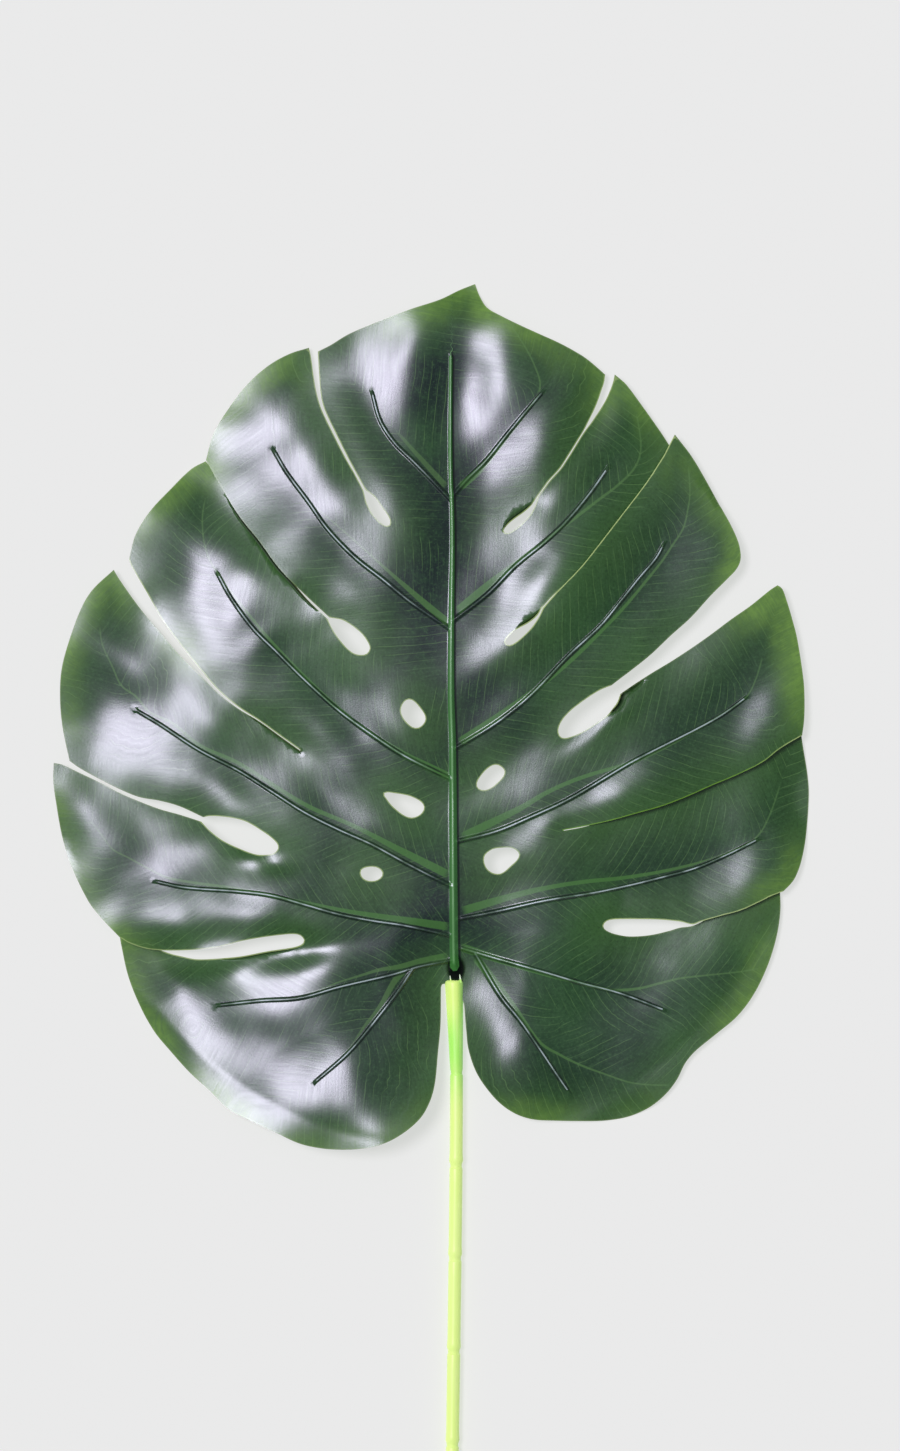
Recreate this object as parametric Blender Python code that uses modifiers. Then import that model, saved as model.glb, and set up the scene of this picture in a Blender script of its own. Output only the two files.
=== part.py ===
"""An artificial monstera leaf, lying face up on a table.

Four pieces: the pressed and printed blade, the moulded rib frame behind it, the ring-jointed
stem whose collar takes the frame's plug, and the wire core of the stem. X runs across the blade,
Y from the stem's cut end to the leaf's tip, Z up from the table. The pieces are shaped about the
junction of blade and stem, and their parent sets the origin on the table below the middle of the
leaf's box. Sizes are in metres, the traced lines in millimetres.
"""
import math

import bmesh
import bpy
import numpy as np
from mathutils import Vector
from mathutils.geometry import delaunay_2d_cdt, interpolate_bezier

MM = 0.001
TINY = 1e-7

# Blade sheet
BLADE_THICKNESS = 0.0008
DOME_HEIGHT = 0.0115
DOME_CENTRE = (-0.008, 0.112)
DOME_HALF_WIDTH = 0.156
DOME_HALF_LENGTH = 0.176
PILLOW_HEIGHT = 0.0018
PILLOW_FADE = 0.018
HOVER = 0.0015
JUNCTION_FLAT = 0.004
JUNCTION_BLEND = 0.030

# Pressed ridges over the ribs: height, and half width from the crest to the foot
MIDRIB_HEIGHT = (0.0012, 0.0009)
MIDRIB_HALF_WIDTH = (0.0018, 0.0012)
SIDE_RIB_HEIGHT = (0.0009, 0.0007)
SIDE_RIB_HALF_WIDTH = (0.0014, 0.0010)

# Rods of the rib frame, radius at the root and at the end
MIDRIB_ROD = (0.0017, 0.0008)
SIDE_ROD = (0.0008, 0.0006)
PLUG_RADIUS = 0.0019
PLUG_LENGTH = 0.010
PLUG_SHOULDER = 0.0022
CLEARANCE = 0.0003
MIDRIB_SIDES_SETTING = 2
SIDE_RIB_SIDES_SETTING = 1

# Stem: a tapering collar, then equal joints with a groove between them
STEM_SIDES = 16
COLLAR_RADIUS = 0.0036
COLLAR_RIM = 0.0024
COLLAR_LENGTH = 0.0372
COLLAR_END_RADIUS = 0.0024
JOINT_COUNT = 5
JOINT_LENGTH = 0.0372
JOINT_TOP_RADIUS = 0.00235
JOINT_FLARE_RADIUS = 0.0026
JOINT_FLARE_LENGTH = 0.0075
GROOVE_RADIUS = 0.0021
GROOVE_LENGTH = 0.0009
WIRE_RADIUS = 0.0008
WIRE_SIDES = 12
SOCKET_DEPTH = 0.012

# Mesh spacing
LINE_STEP = 0.0006
SPLIT_STEP = 0.004
WELD = 0.00002
EDGE_STEP = 0.0068
EDGE_SAG = 0.00012
RIB_STEP = 0.0075
GRID_STEP = 0.0072
GRID_CLEAR = 0.0026

# The blade's junction with the stem lies this far up from the origin
JUNCTION_Y = 0.002

# The outline goes anticlockwise from the tip. Each stretch is smooth and starts at the end of the
# one before it, and they meet at corners. Millimetres from the junction.
OUTLINE = {
    "tip left margin": [
        (7.6, 277.6), (1.6, 275.2), (-6.4, 271.2), (-18.4, 267.2), (-28.4, 263.4),
        (-42.4, 257.6), (-50.4, 252.8), (-55.2, 250.4)],
    "split A tip side": [
        (-55.2, 250.4), (-55.2, 241.2), (-54.0, 233.2), (-51.6, 225.2), (-46.4, 213.2),
        (-41.6, 203.2), (-36.0, 194.8)],
    "hole A": [
        (-36.0, 194.8), (-32.4, 192.0), (-29.6, 188.0), (-26.8, 184.0), (-26.2, 181.2),
        (-27.6, 180.4), (-30.0, 181.6), (-33.6, 185.6), (-35.6, 189.6), (-37.2, 194.2)],
    "split A lower side": [
        (-37.2, 194.2), (-42.4, 201.8), (-48.4, 214.6), (-54.0, 227.2), (-56.8, 238.0),
        (-58.0, 248.4), (-58.8, 252.0)],
    "left lobe 2 margin": [
        (-58.8, 252.0), (-66.4, 249.6), (-74.4, 245.2), (-82.4, 238.4), (-89.6, 229.6),
        (-96.8, 218.0), (-100.0, 207.2)],
    "split B upper side": [
        (-100.0, 207.2), (-94.4, 197.2), (-86.4, 184.4), (-78.4, 174.4), (-70.8, 164.0),
        (-63.2, 156.0), (-50.4, 144.0)],
    "hole B": [
        (-50.4, 144.0), (-44.8, 142.8), (-38.0, 138.0), (-34.8, 133.6), (-34.4, 131.2),
        (-36.4, 129.2), (-41.2, 130.0), (-46.4, 135.2), (-49.6, 140.2), (-51.4, 142.8)],
    "split B lower side": [
        (-51.4, 142.8), (-58.4, 149.2), (-65.6, 156.4), (-73.2, 164.8), (-80.4, 173.0),
        (-86.4, 179.2), (-89.6, 186.0), (-93.6, 194.0), (-98.0, 201.8), (-100.8, 206.2)],
    "left lobe 3 margin": [
        (-100.8, 206.2), (-106.4, 203.2), (-114.4, 195.2), (-122.4, 186.4), (-128.0, 177.2),
        (-130.6, 167.2)],
    "split C upper side": [
        (-130.6, 167.2), (-129.2, 164.0), (-123.6, 154.4), (-117.2, 143.2), (-110.4, 134.0),
        (-102.4, 124.0), (-94.4, 114.8), (-86.4, 108.2), (-78.4, 103.0), (-70.4, 97.2),
        (-62.0, 91.2)],
    "split C root": [(-62.0, 91.2), (-62.6, 90.5)],
    "split C lower side": [
        (-62.6, 90.5), (-70.6, 96.1), (-78.6, 101.9), (-86.6, 107.1), (-94.4, 113.2),
        (-102.4, 121.4), (-110.4, 129.2), (-118.4, 138.4), (-126.4, 148.0), (-134.4, 159.2),
        (-136.8, 163.2)],
    "left lobe 4 margin": [
        (-136.8, 163.2), (-145.2, 155.2), (-149.6, 148.0), (-154.4, 135.2), (-157.6, 123.2),
        (-158.2, 111.2), (-157.2, 100.0), (-154.4, 86.8)],
    "split D upper side": [
        (-154.4, 86.8), (-150.4, 84.0), (-142.4, 79.6), (-134.4, 75.6), (-126.4, 72.4),
        (-118.4, 71.0), (-110.4, 68.8), (-100.8, 64.4)],
    "hole D": [
        (-100.8, 64.4), (-98.0, 64.9), (-90.8, 64.4), (-84.0, 62.8), (-78.0, 59.4),
        (-72.8, 55.6), (-70.8, 52.6), (-72.4, 50.2), (-76.0, 49.4), (-80.0, 49.6),
        (-86.6, 52.0), (-93.2, 55.2), (-98.4, 59.2), (-101.6, 62.6)],
    "split D lower side": [
        (-101.6, 62.6), (-110.4, 65.4), (-118.4, 67.6), (-126.4, 70.6), (-134.4, 74.0),
        (-142.4, 78.2), (-150.4, 82.0), (-157.6, 85.4), (-160.8, 86.0)],
    "left lobe 5 margin": [
        (-160.8, 86.0), (-161.0, 79.2), (-160.0, 71.2), (-157.6, 57.2), (-154.4, 46.4),
        (-147.2, 31.2), (-142.4, 24.8), (-134.4, 16.4)],
    "split E upper side": [
        (-134.4, 16.4), (-130.4, 14.0), (-122.4, 11.6), (-110.4, 11.2), (-96.0, 12.4),
        (-85.6, 15.0), (-78.0, 16.4), (-70.4, 17.3), (-63.6, 17.6), (-60.6, 15.8)],
    "split E lower side": [
        (-60.6, 15.8), (-61.6, 14.0), (-65.2, 12.4), (-75.2, 10.8), (-85.6, 8.8),
        (-93.6, 8.0), (-104.0, 7.6), (-111.2, 9.0), (-118.4, 10.1), (-126.4, 11.3),
        (-131.2, 13.2), (-134.6, 15.0)],
    "left lobe 6 margin": [
        (-134.6, 15.0), (-134.0, 11.2), (-131.2, 0.0), (-126.0, -12.0), (-120.4, -21.6),
        (-114.4, -28.8), (-106.4, -37.6), (-98.4, -44.8), (-90.4, -52.4), (-82.4, -56.4),
        (-70.4, -62.0), (-62.4, -65.6), (-54.4, -67.4), (-46.4, -68.0), (-38.4, -67.6),
        (-30.4, -66.0), (-22.4, -62.2), (-14.4, -55.6), (-10.4, -48.8), (-8.4, -41.6),
        (-7.2, -29.6), (-6.2, -18.8), (-6.0, -4.8), (-5.2, -0.6), (-3.2, 0.8), (0.0, 1.2)],
    "right lobe 6 margin": [
        (0.0, 1.2), (3.0, 0.8), (4.3, -1.4), (4.1, -12.8), (4.1, -20.8), (4.9, -28.0),
        (8.0, -37.2), (12.8, -44.6), (18.0, -50.2), (24.0, -54.2), (30.8, -56.4),
        (40.0, -57.0), (49.2, -57.2), (60.0, -57.0), (69.2, -55.4), (77.2, -51.8),
        (83.8, -46.4), (88.4, -40.4), (91.6, -34.0), (95.6, -29.2), (103.6, -22.6),
        (112.4, -15.2), (118.8, -6.8), (124.2, 4.0), (128.2, 15.8), (130.0, 25.2),
        (130.0, 32.9)],
    "split J lower side": [
        (130.0, 32.9), (125.6, 31.5), (121.6, 29.5), (113.6, 25.9), (105.6, 23.6),
        (97.6, 21.3), (94.8, 20.7), (89.6, 20.2), (85.6, 19.0), (77.6, 17.2), (69.2, 16.8),
        (62.4, 18.4), (58.8, 20.4)],
    "split J upper side": [
        (58.8, 20.4), (60.6, 22.8), (65.6, 23.6), (73.6, 23.7), (81.6, 23.5), (89.6, 23.1),
        (95.6, 22.0), (97.6, 22.7), (105.6, 25.0), (113.6, 27.2), (121.6, 30.8),
        (125.6, 32.8), (130.8, 34.8)],
    "right lobe 5 margin": [
        (130.8, 34.8), (133.6, 37.6), (135.6, 40.4), (138.0, 46.8), (140.0, 57.2),
        (141.2, 73.2), (140.8, 81.2), (139.6, 90.0), (138.9, 95.4)],
    "split I lower side": [
        (138.9, 95.4), (133.9, 93.2), (129.2, 90.3), (122.8, 85.4), (112.4, 80.1),
        (102.8, 76.1), (92.4, 71.5), (82.3, 67.7), (72.2, 64.9), (62.2, 62.1), (52.2, 59.9),
        (43.0, 58.4)],
    "split I root": [(43.0, 58.4), (42.7, 59.3)],
    "split I upper side": [
        (42.7, 59.3), (52.0, 61.0), (62.0, 63.2), (72.0, 66.0), (82.0, 68.8), (92.0, 72.6),
        (102.4, 77.2), (112.0, 81.2), (122.4, 86.4), (128.8, 91.4), (133.6, 94.4),
        (138.2, 97.0)],
    "right lobe 4 margin": [
        (138.2, 97.0), (139.0, 103.2), (139.2, 111.2), (138.8, 119.2), (136.4, 135.2),
        (134.4, 143.2), (132.0, 151.2), (130.2, 155.8), (128.4, 157.0)],
    "split H lower side": [
        (128.4, 157.0), (125.6, 155.2), (117.6, 148.8), (109.6, 143.2), (101.6, 137.2),
        (93.6, 131.6), (85.6, 126.4), (77.6, 121.6), (69.6, 116.4), (65.6, 113.6)],
    "hole H": [
        (65.6, 113.6), (64.4, 110.4), (62.4, 107.6), (60.0, 104.8), (53.6, 100.4),
        (49.6, 98.0), (44.8, 96.2), (42.6, 96.0), (41.2, 97.0), (40.8, 99.6), (42.4, 103.2),
        (45.6, 106.8), (49.6, 110.0), (53.6, 112.8), (57.6, 115.2), (62.0, 117.0)],
    "split H upper side": [
        (62.0, 117.0), (65.6, 119.8), (69.6, 122.8), (77.6, 129.2), (85.6, 136.8),
        (93.6, 144.0), (101.6, 152.8), (108.8, 160.0), (111.8, 163.2), (113.4, 166.4),
        (113.6, 169.6), (112.6, 174.4), (109.6, 181.2), (105.6, 188.4), (97.6, 202.8),
        (93.6, 209.2), (89.6, 214.4), (87.4, 217.2)],
    "split G lower side": [
        (87.4, 217.2), (84.8, 212.4), (83.2, 209.2), (80.4, 204.8), (77.6, 200.4),
        (73.6, 194.8), (65.6, 184.4), (57.6, 174.0), (49.6, 164.0), (40.0, 154.0),
        (34.6, 147.8)],
    "hole G": [
        (34.6, 147.8), (33.0, 144.2), (31.8, 141.8), (28.8, 138.4), (25.6, 135.4),
        (22.8, 133.2), (20.4, 132.7), (19.4, 134.2), (20.8, 136.4), (23.6, 139.6),
        (28.4, 143.2), (31.6, 145.6), (33.6, 148.2)],
    "split G upper side": [
        (33.6, 148.2), (39.2, 154.7), (48.8, 164.6), (56.8, 174.6), (64.8, 185.0),
        (72.8, 195.4), (76.8, 201.0), (79.6, 205.4), (82.3, 209.7), (84.0, 213.2)],
    "right lobe 2 margin": [
        (84.0, 213.2), (79.4, 220.8), (73.6, 229.6), (68.0, 237.2), (65.6, 239.4),
        (63.4, 241.2)],
    "split F lower side": [
        (63.4, 241.2), (62.8, 238.4), (61.2, 234.0), (58.8, 229.2), (54.2, 222.2),
        (50.8, 217.6), (45.6, 209.2), (41.6, 203.2), (37.6, 198.8), (32.6, 192.0)],
    "hole F": [
        (32.6, 192.0), (31.6, 189.2), (30.8, 187.2), (28.8, 184.0), (25.6, 180.8),
        (22.4, 178.4), (20.4, 177.6), (18.8, 178.4), (18.6, 179.8), (20.0, 182.0),
        (22.4, 184.0), (26.4, 186.8), (29.2, 189.2), (31.4, 192.6)],
    "split F tip side": [
        (31.4, 192.6), (36.4, 199.0), (40.6, 204.0), (46.0, 212.2), (48.2, 216.0),
        (50.4, 220.0), (53.4, 225.6), (56.0, 230.4), (57.8, 234.4), (59.2, 238.2),
        (59.6, 241.2)],
    "tip right margin": [
        (59.6, 241.2), (53.6, 246.4), (49.6, 249.2), (41.6, 253.6), (33.6, 257.2),
        (25.6, 260.8), (17.6, 264.8), (12.4, 268.0), (9.6, 272.4), (7.6, 277.6)],
}

# Closed holes beside the midrib
INNER_HOLES = {
    "left upper": [
        (-18.8, 111.4), (-14.0, 107.6), (-12.2, 103.2), (-15.6, 100.0), (-19.8, 102.4),
        (-22.0, 107.4)],
    "left middle": [
        (-28.6, 74.0), (-24.4, 74.0), (-17.2, 72.4), (-12.8, 69.0), (-14.4, 65.4),
        (-18.8, 64.4), (-24.4, 68.0), (-27.8, 72.0)],
    "left lower": [
        (-29.3, 42.3), (-31.0, 44.2), (-34.2, 44.7), (-37.6, 43.6), (-37.9, 41.5),
        (-36.2, 39.5), (-32.8, 39.0), (-30.0, 40.3)],
    "right upper": [
        (16.8, 85.2), (19.4, 82.4), (16.4, 78.0), (11.6, 75.2), (8.4, 76.6), (9.4, 80.2),
        (13.6, 84.6)],
    "right lower": [
        (11.2, 48.4), (12.6, 43.6), (17.2, 41.8), (21.6, 44.8), (25.2, 49.2), (22.8, 52.0),
        (17.6, 52.2), (14.0, 51.4)],
}

# Rib lines from their root to their blunt end
MIDRIB = [
    (0.0, 1.2), (-0.8, 16.0), (-1.1, 55.6), (-1.2, 75.2), (-1.4, 95.2), (-1.9, 113.2),
    (-1.8, 142.4), (-1.4, 171.2), (-1.6, 190.0), (-2.0, 198.0), (-2.2, 216.8), (-2.0, 248.0)]
SIDE_RIBS = {
    "left 1": [
        (-1.7, 190.6), (-10.8, 200.0), (-18.4, 207.6), (-24.8, 214.0), (-30.4, 222.8),
        (-33.6, 234.0)],
    "left 2": [
        (-1.8, 139.0), (-18.4, 150.4), (-29.2, 159.2), (-40.4, 168.0), (-51.2, 179.2),
        (-58.8, 190.0), (-67.6, 202.0), (-72.8, 210.8)],
    "left 3": [
        (-1.0, 79.2), (-20.4, 88.8), (-33.6, 97.4), (-47.0, 107.2), (-60.4, 119.2),
        (-72.0, 130.8), (-80.8, 139.6), (-89.6, 151.6), (-95.2, 161.6)],
    "left 4": [
        (-0.2, 36.2), (-10.0, 41.0), (-20.4, 46.4), (-33.6, 53.6), (-47.0, 59.6),
        (-60.4, 66.4), (-73.6, 74.8), (-86.4, 82.8), (-102.4, 91.2), (-118.4, 101.6),
        (-127.2, 106.8)],
    "left 5": [
        (0.0, 16.6), (-20.4, 21.2), (-33.6, 23.2), (-47.0, 25.8), (-60.4, 29.6),
        (-73.6, 33.2), (-86.8, 34.8), (-108.4, 36.4), (-120.0, 38.8)],
    "left 6": [
        (0.0, 7.4), (-14.4, 4.8), (-25.6, 1.6), (-46.4, -3.2), (-62.4, -7.6), (-78.4, -8.8),
        (-95.2, -10.8)],
    "right 1": [
        (-1.7, 192.0), (4.2, 199.0), (12.0, 206.8), (21.0, 218.0), (27.6, 226.0),
        (34.8, 234.4)],
    "right 2": [
        (-1.8, 142.4), (12.0, 153.0), (23.2, 164.2), (34.4, 173.8), (43.6, 182.8),
        (52.4, 193.4), (60.0, 204.0)],
    "right 3": [
        (-1.2, 91.4), (16.0, 102.0), (29.4, 112.8), (45.6, 129.6), (57.6, 140.8),
        (65.2, 150.0), (72.8, 159.6), (79.6, 167.6), (82.8, 173.2)],
    "right 4": [
        (-0.4, 54.6), (16.0, 58.8), (29.4, 64.4), (45.6, 72.0), (69.2, 86.0), (82.4, 92.8),
        (95.6, 99.4), (106.4, 105.4), (116.0, 112.4)],
    "right 5": [
        (-0.1, 23.6), (16.0, 26.8), (35.6, 31.2), (55.6, 34.4), (69.2, 37.2), (82.4, 40.4),
        (95.6, 44.0), (108.8, 49.6), (120.8, 55.6)],
    "right 6": [
        (0.0, 12.6), (16.0, 8.0), (36.0, 2.4), (49.2, -1.6), (65.6, -6.0), (83.6, -12.8)],
}
BRANCH_RIBS = {
    "left 6": [
        (-17.2, 4.0), (-22.4, -4.0), (-30.4, -14.4), (-42.4, -28.8), (-56.4, -41.2)],
    "right 6": [
        (7.4, 10.4), (17.6, -6.8), (25.6, -16.8), (33.6, -28.4), (41.6, -40.4),
        (45.2, -45.6)],
}

# Splits whose two edges lie at different heights: the edge that lies over, the edge under it, the
# lift of one, the drop of the other, how far the lower one slides beneath, and where along the
# split that slide begins
SPLITS = {
    "A": ("split A tip side", "split A lower side", 0.0008, 0.0008, 0.0, 0.0),
    "B": ("split B upper side", "split B lower side", 0.0018, 0.0016, 0.0008, 0.1),
    "C": ("split C upper side", "split C lower side", 0.0014, 0.0008, 0.0, 0.0),
    "D": ("split D upper side", "split D lower side", 0.0008, 0.0006, 0.0, 0.0),
    "E": ("split E upper side", "split E lower side", 0.0018, 0.0014, 0.0026, 0.68),
    "F": ("split F lower side", "split F tip side", 0.0006, 0.0012, 0.0, 0.0),
    "G": ("split G lower side", "split G upper side", 0.0020, 0.0014, 0.0026, 0.0),
    "H": ("split H upper side", "split H lower side", 0.0004, 0.0012, 0.0, 0.0),
    "I": ("split I upper side", "split I lower side", 0.0020, 0.0014, 0.0026, 0.0),
    "J": ("split J upper side", "split J lower side", 0.0018, 0.0014, 0.0026, 0.45),
}
SPLIT_REACH = 0.013
SPLIT_RUN_IN = 0.30
SLIDE_RUN_IN = 0.20

# Places where the margin droops onto the table: centre, radius and depth in millimetres
TOUCH_POINTS = [
    ((-160.0, 58.0), 16.0, 5.0), ((142.0, 72.0), 16.0, 5.0), ((8.0, 279.0), 15.0, 5.0),
    ((-48.0, -66.0), 18.0, 5.0), ((68.0, -59.0), 13.0, 4.0)]

BLADE_LOOK = ((0.035, 0.105, 0.035, 1.0), 0.28, 0.0)
FRAME_LOOK = ((0.090, 0.240, 0.060, 1.0), 0.45, 0.0)
STEM_LOOK = ((0.560, 0.950, 0.180, 1.0), 0.42, 0.0)
WIRE_LOOK = ((0.420, 0.420, 0.410, 1.0), 0.40, 1.0)


def plan(points):
    """Traced millimetres from the junction to metres from the origin."""
    return [Vector((x * MM, y * MM + JUNCTION_Y)) for x, y in points]


def smooth_line(points, closed=False):
    """A dense line through the points, rounded at each of them but not at open ends."""
    count = len(points)
    spans = count if closed else count - 1

    def slope(i):
        before = points[(i - 1) % count] if closed else points[max(i - 1, 0)]
        after = points[(i + 1) % count] if closed else points[min(i + 1, count - 1)]
        return (after - before).normalized()

    line = []
    for i in range(spans):
        start, end = points[i], points[(i + 1) % count]
        third = (end - start).length / 3.0
        handle_out = start + slope(i) * third
        handle_in = end - slope((i + 1) % count) * third
        pieces = max(3, int((end - start).length / LINE_STEP))
        line += interpolate_bezier(start, handle_out, handle_in, end, pieces + 1)[:-1]
    if not closed:
        line.append(points[-1])
    return [Vector(point[:2]) for point in line]


def strays(line, first, last, sag):
    """Whether the line leaves the chord between two of its points by more than the sag."""
    chord = line[last] - line[first]
    along = chord.normalized()
    for point in line[first + 1:last]:
        offset = point - line[first]
        if abs(along.x * offset.y - along.y * offset.x) > sag:
            return True
    return False


def thin(line, longest, sag):
    """The fewest points of a dense line whose chords keep to its shape."""
    kept = [line[0]]
    first = 0
    while first < len(line) - 1:
        last = first + 1
        while (last + 1 < len(line) and (line[last + 1] - line[first]).length <= longest
               and not strays(line, first, last + 1, sag)):
            last += 1
        kept.append(line[last])
        first = last
    return kept


def even_line(line, step):
    """Points at one even step along a dense line, both ends kept."""
    lengths = [0.0]
    for before, after in zip(line, line[1:]):
        lengths.append(lengths[-1] + (after - before).length)
    count = max(2, round(lengths[-1] / step) + 1)
    marks = np.linspace(0.0, lengths[-1], count)
    x = np.interp(marks, lengths, [point.x for point in line])
    y = np.interp(marks, lengths, [point.y for point in line])
    return [Vector(pair) for pair in zip(x, y)]


def as_array(points):
    """Points or faces as rows of an array."""
    return np.array([tuple(point) for point in points])


def nearest_on(line, points):
    """For each point: distance to the line, share of the way along it, and side (left is +)."""
    line = as_array(line)
    start, step = line[:-1], line[1:] - line[:-1]
    square = (step ** 2).sum(axis=1)
    length = np.sqrt(square)
    travelled = np.concatenate([[0.0], np.cumsum(length)[:-1]])
    distance, share, side = [], [], []
    for point in points:
        offset = point - start
        t = np.clip((offset * step).sum(axis=1) / square, 0.0, 1.0)
        gap = offset - step * t[:, None]
        away = np.hypot(gap[:, 0], gap[:, 1])
        i = int(away.argmin())
        cross = step[i, 0] * offset[i, 1] - step[i, 1] * offset[i, 0]
        distance.append(away[i])
        share.append((travelled[i] + t[i] * length[i]) / length.sum())
        side.append(1.0 if cross > 0.0 else -1.0)
    return np.array(distance), np.array(share), np.array(side)


def ease(value, low, high):
    """A smooth climb from 0 at low to 1 at high."""
    t = np.clip((value - low) / (high - low), 0.0, 1.0)
    return t * t * (3.0 - 2.0 * t)


class Rib:
    """One rib: its dense plan line, its even stations clear of what it grows from, its sizes."""

    def __init__(self, points, parents, height, half_width, rod_radius):
        self.line = smooth_line(plan(points))
        self.height, self.half_width, self.rod_radius = height, half_width, rod_radius
        self.root = self.line[0]
        free = self.line
        for parent in parents:
            away = nearest_on(parent.line, as_array(free))[0]
            free = [point for point, gap in zip(free, away) if gap > parent.half_width[0]]
        self.branches = bool(parents)
        self.stations = even_line(free, RIB_STEP)

    def size_at(self, pair, share):
        return pair[0] + (pair[1] - pair[0]) * share


def rib_lines():
    """The midrib, then the side ribs that leave it, then the ribs that branch from those."""
    midrib = Rib(MIDRIB, [], MIDRIB_HEIGHT, MIDRIB_HALF_WIDTH, MIDRIB_ROD)
    ribs = [midrib]
    for points in SIDE_RIBS.values():
        ribs.append(Rib(points, [midrib], SIDE_RIB_HEIGHT, SIDE_RIB_HALF_WIDTH, SIDE_ROD))
    whole = list(ribs)
    for points in BRANCH_RIBS.values():
        ribs.append(Rib(points, whole, SIDE_RIB_HEIGHT, SIDE_RIB_HALF_WIDTH, SIDE_ROD))
    return ribs


def split_line(over, under):
    """The middle of a split from its root to its mouth, and the side its upper edge is on."""
    over_line = smooth_line(plan(OUTLINE[over]))
    under_line = smooth_line(plan(OUTLINE[under]))
    middle_of_blade = Vector(DOME_CENTRE)
    if (over_line[0] - middle_of_blade).length > (over_line[-1] - middle_of_blade).length:
        over_line.reverse()
    middle = []
    for point in over_line:
        partner = min(under_line, key=lambda other: (other - point).length)
        middle.append((point + partner) / 2.0)
    middle = even_line(middle, SPLIT_STEP)
    check = over_line[len(over_line) // 2]
    side = nearest_on(middle, as_array([check]))[2][0]
    return middle, side


def rib_section(points, ribs):
    """How far the pressed ridges raise the sheet at each point."""
    raised = np.zeros(len(points))
    for rib in ribs:
        distance, share, _ = nearest_on(rib.line, points)
        height = rib.size_at(rib.height, share)
        half_width = rib.size_at(rib.half_width, share)
        raised = np.maximum(raised, height * np.clip(1.0 - distance / half_width, 0.0, 1.0))
    return raised


def shape_sheet(points, ribs, ridges=True):
    """Where each plan point of the flat cut sheet ends up, as the top face's x, y and z."""
    x, y = points[:, 0], points[:, 1]
    ring = ((x - DOME_CENTRE[0]) / DOME_HALF_WIDTH) ** 2
    ring = ring + ((y - DOME_CENTRE[1]) / DOME_HALF_LENGTH) ** 2
    z = BLADE_THICKNESS + HOVER + DOME_HEIGHT * np.clip(1.0 - ring, 0.0, 1.0)

    splits = [(split_line(*row[:2]), row[2:]) for row in SPLITS.values()]
    to_rib = np.min([nearest_on(rib.line, points)[0] for rib in ribs[1:]], axis=0)
    to_split = np.min([nearest_on(line, points)[0] for (line, _), _ in splits], axis=0)
    to_midrib = nearest_on(ribs[0].line, points)[0]
    share = to_rib / (to_rib + to_split + TINY)
    z = z + PILLOW_HEIGHT * np.sin(math.pi * share) ** 2 * ease(to_midrib, 0.0, PILLOW_FADE)

    moved = points.copy()
    for (line, over_side), (lift, drop, slide, slide_from) in splits:
        distance, along, side = nearest_on(line, points)
        near = np.exp(-(distance / SPLIT_REACH) ** 2) * ease(along, 0.0, SPLIT_RUN_IN)
        over = side == over_side
        z = z + np.where(over, lift, -drop) * near
        beneath = slide * near * ease(along, slide_from, slide_from + SLIDE_RUN_IN)
        run = (line[-1] - line[0]).normalized()
        towards_over = over_side * np.array([-run.y, run.x])
        moved = moved + np.where(over, 0.0, beneath)[:, None] * towards_over

    for (cx, cy), radius, depth in TOUCH_POINTS:
        away = np.hypot(x - cx * MM, y - cy * MM - JUNCTION_Y)
        z = z - depth * MM * np.exp(-(away / (radius * MM)) ** 2)

    to_junction = np.hypot(x, y - JUNCTION_Y)
    level = junction_level()
    flat = 1.0 - ease(to_junction, JUNCTION_FLAT, JUNCTION_BLEND)
    z = z + (level - z) * flat
    if ridges:
        z = z + rib_section(points, ribs)
    z = np.maximum(z, BLADE_THICKNESS)
    return np.column_stack([moved, z])


def rod_depth(radius, height, half_width):
    """From the underside of a ridge's crest down to the axis of the rod that fits below it."""
    return (radius + CLEARANCE) * np.hypot(height, half_width) / half_width


def junction_level():
    """Height of the sheet beside the midrib where the rib frame leaves it for the collar."""
    depth = rod_depth(MIDRIB_ROD[0], MIDRIB_HEIGHT[0], MIDRIB_HALF_WIDTH[0])
    return COLLAR_RADIUS + depth + BLADE_THICKNESS - MIDRIB_HEIGHT[0]


def inside(polygon, points):
    """Which points lie inside a closed polygon."""
    x, y = points[:, 0], points[:, 1]
    result = np.zeros(len(points), bool)
    for (ax, ay), (bx, by) in zip(polygon, np.roll(polygon, -1, axis=0)):
        crosses = (ay > y) != (by > y)
        with np.errstate(divide="ignore", invalid="ignore"):
            reach = ax + (y - ay) * (bx - ax) / (by - ay)
        result ^= crosses & (x < reach)
    return result


def outline_points():
    """The blade's outer edge, one closed loop."""
    loop = []
    for points in OUTLINE.values():
        loop += thin(smooth_line(plan(points)), EDGE_STEP, EDGE_SAG)[:-1]
    return loop


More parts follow.
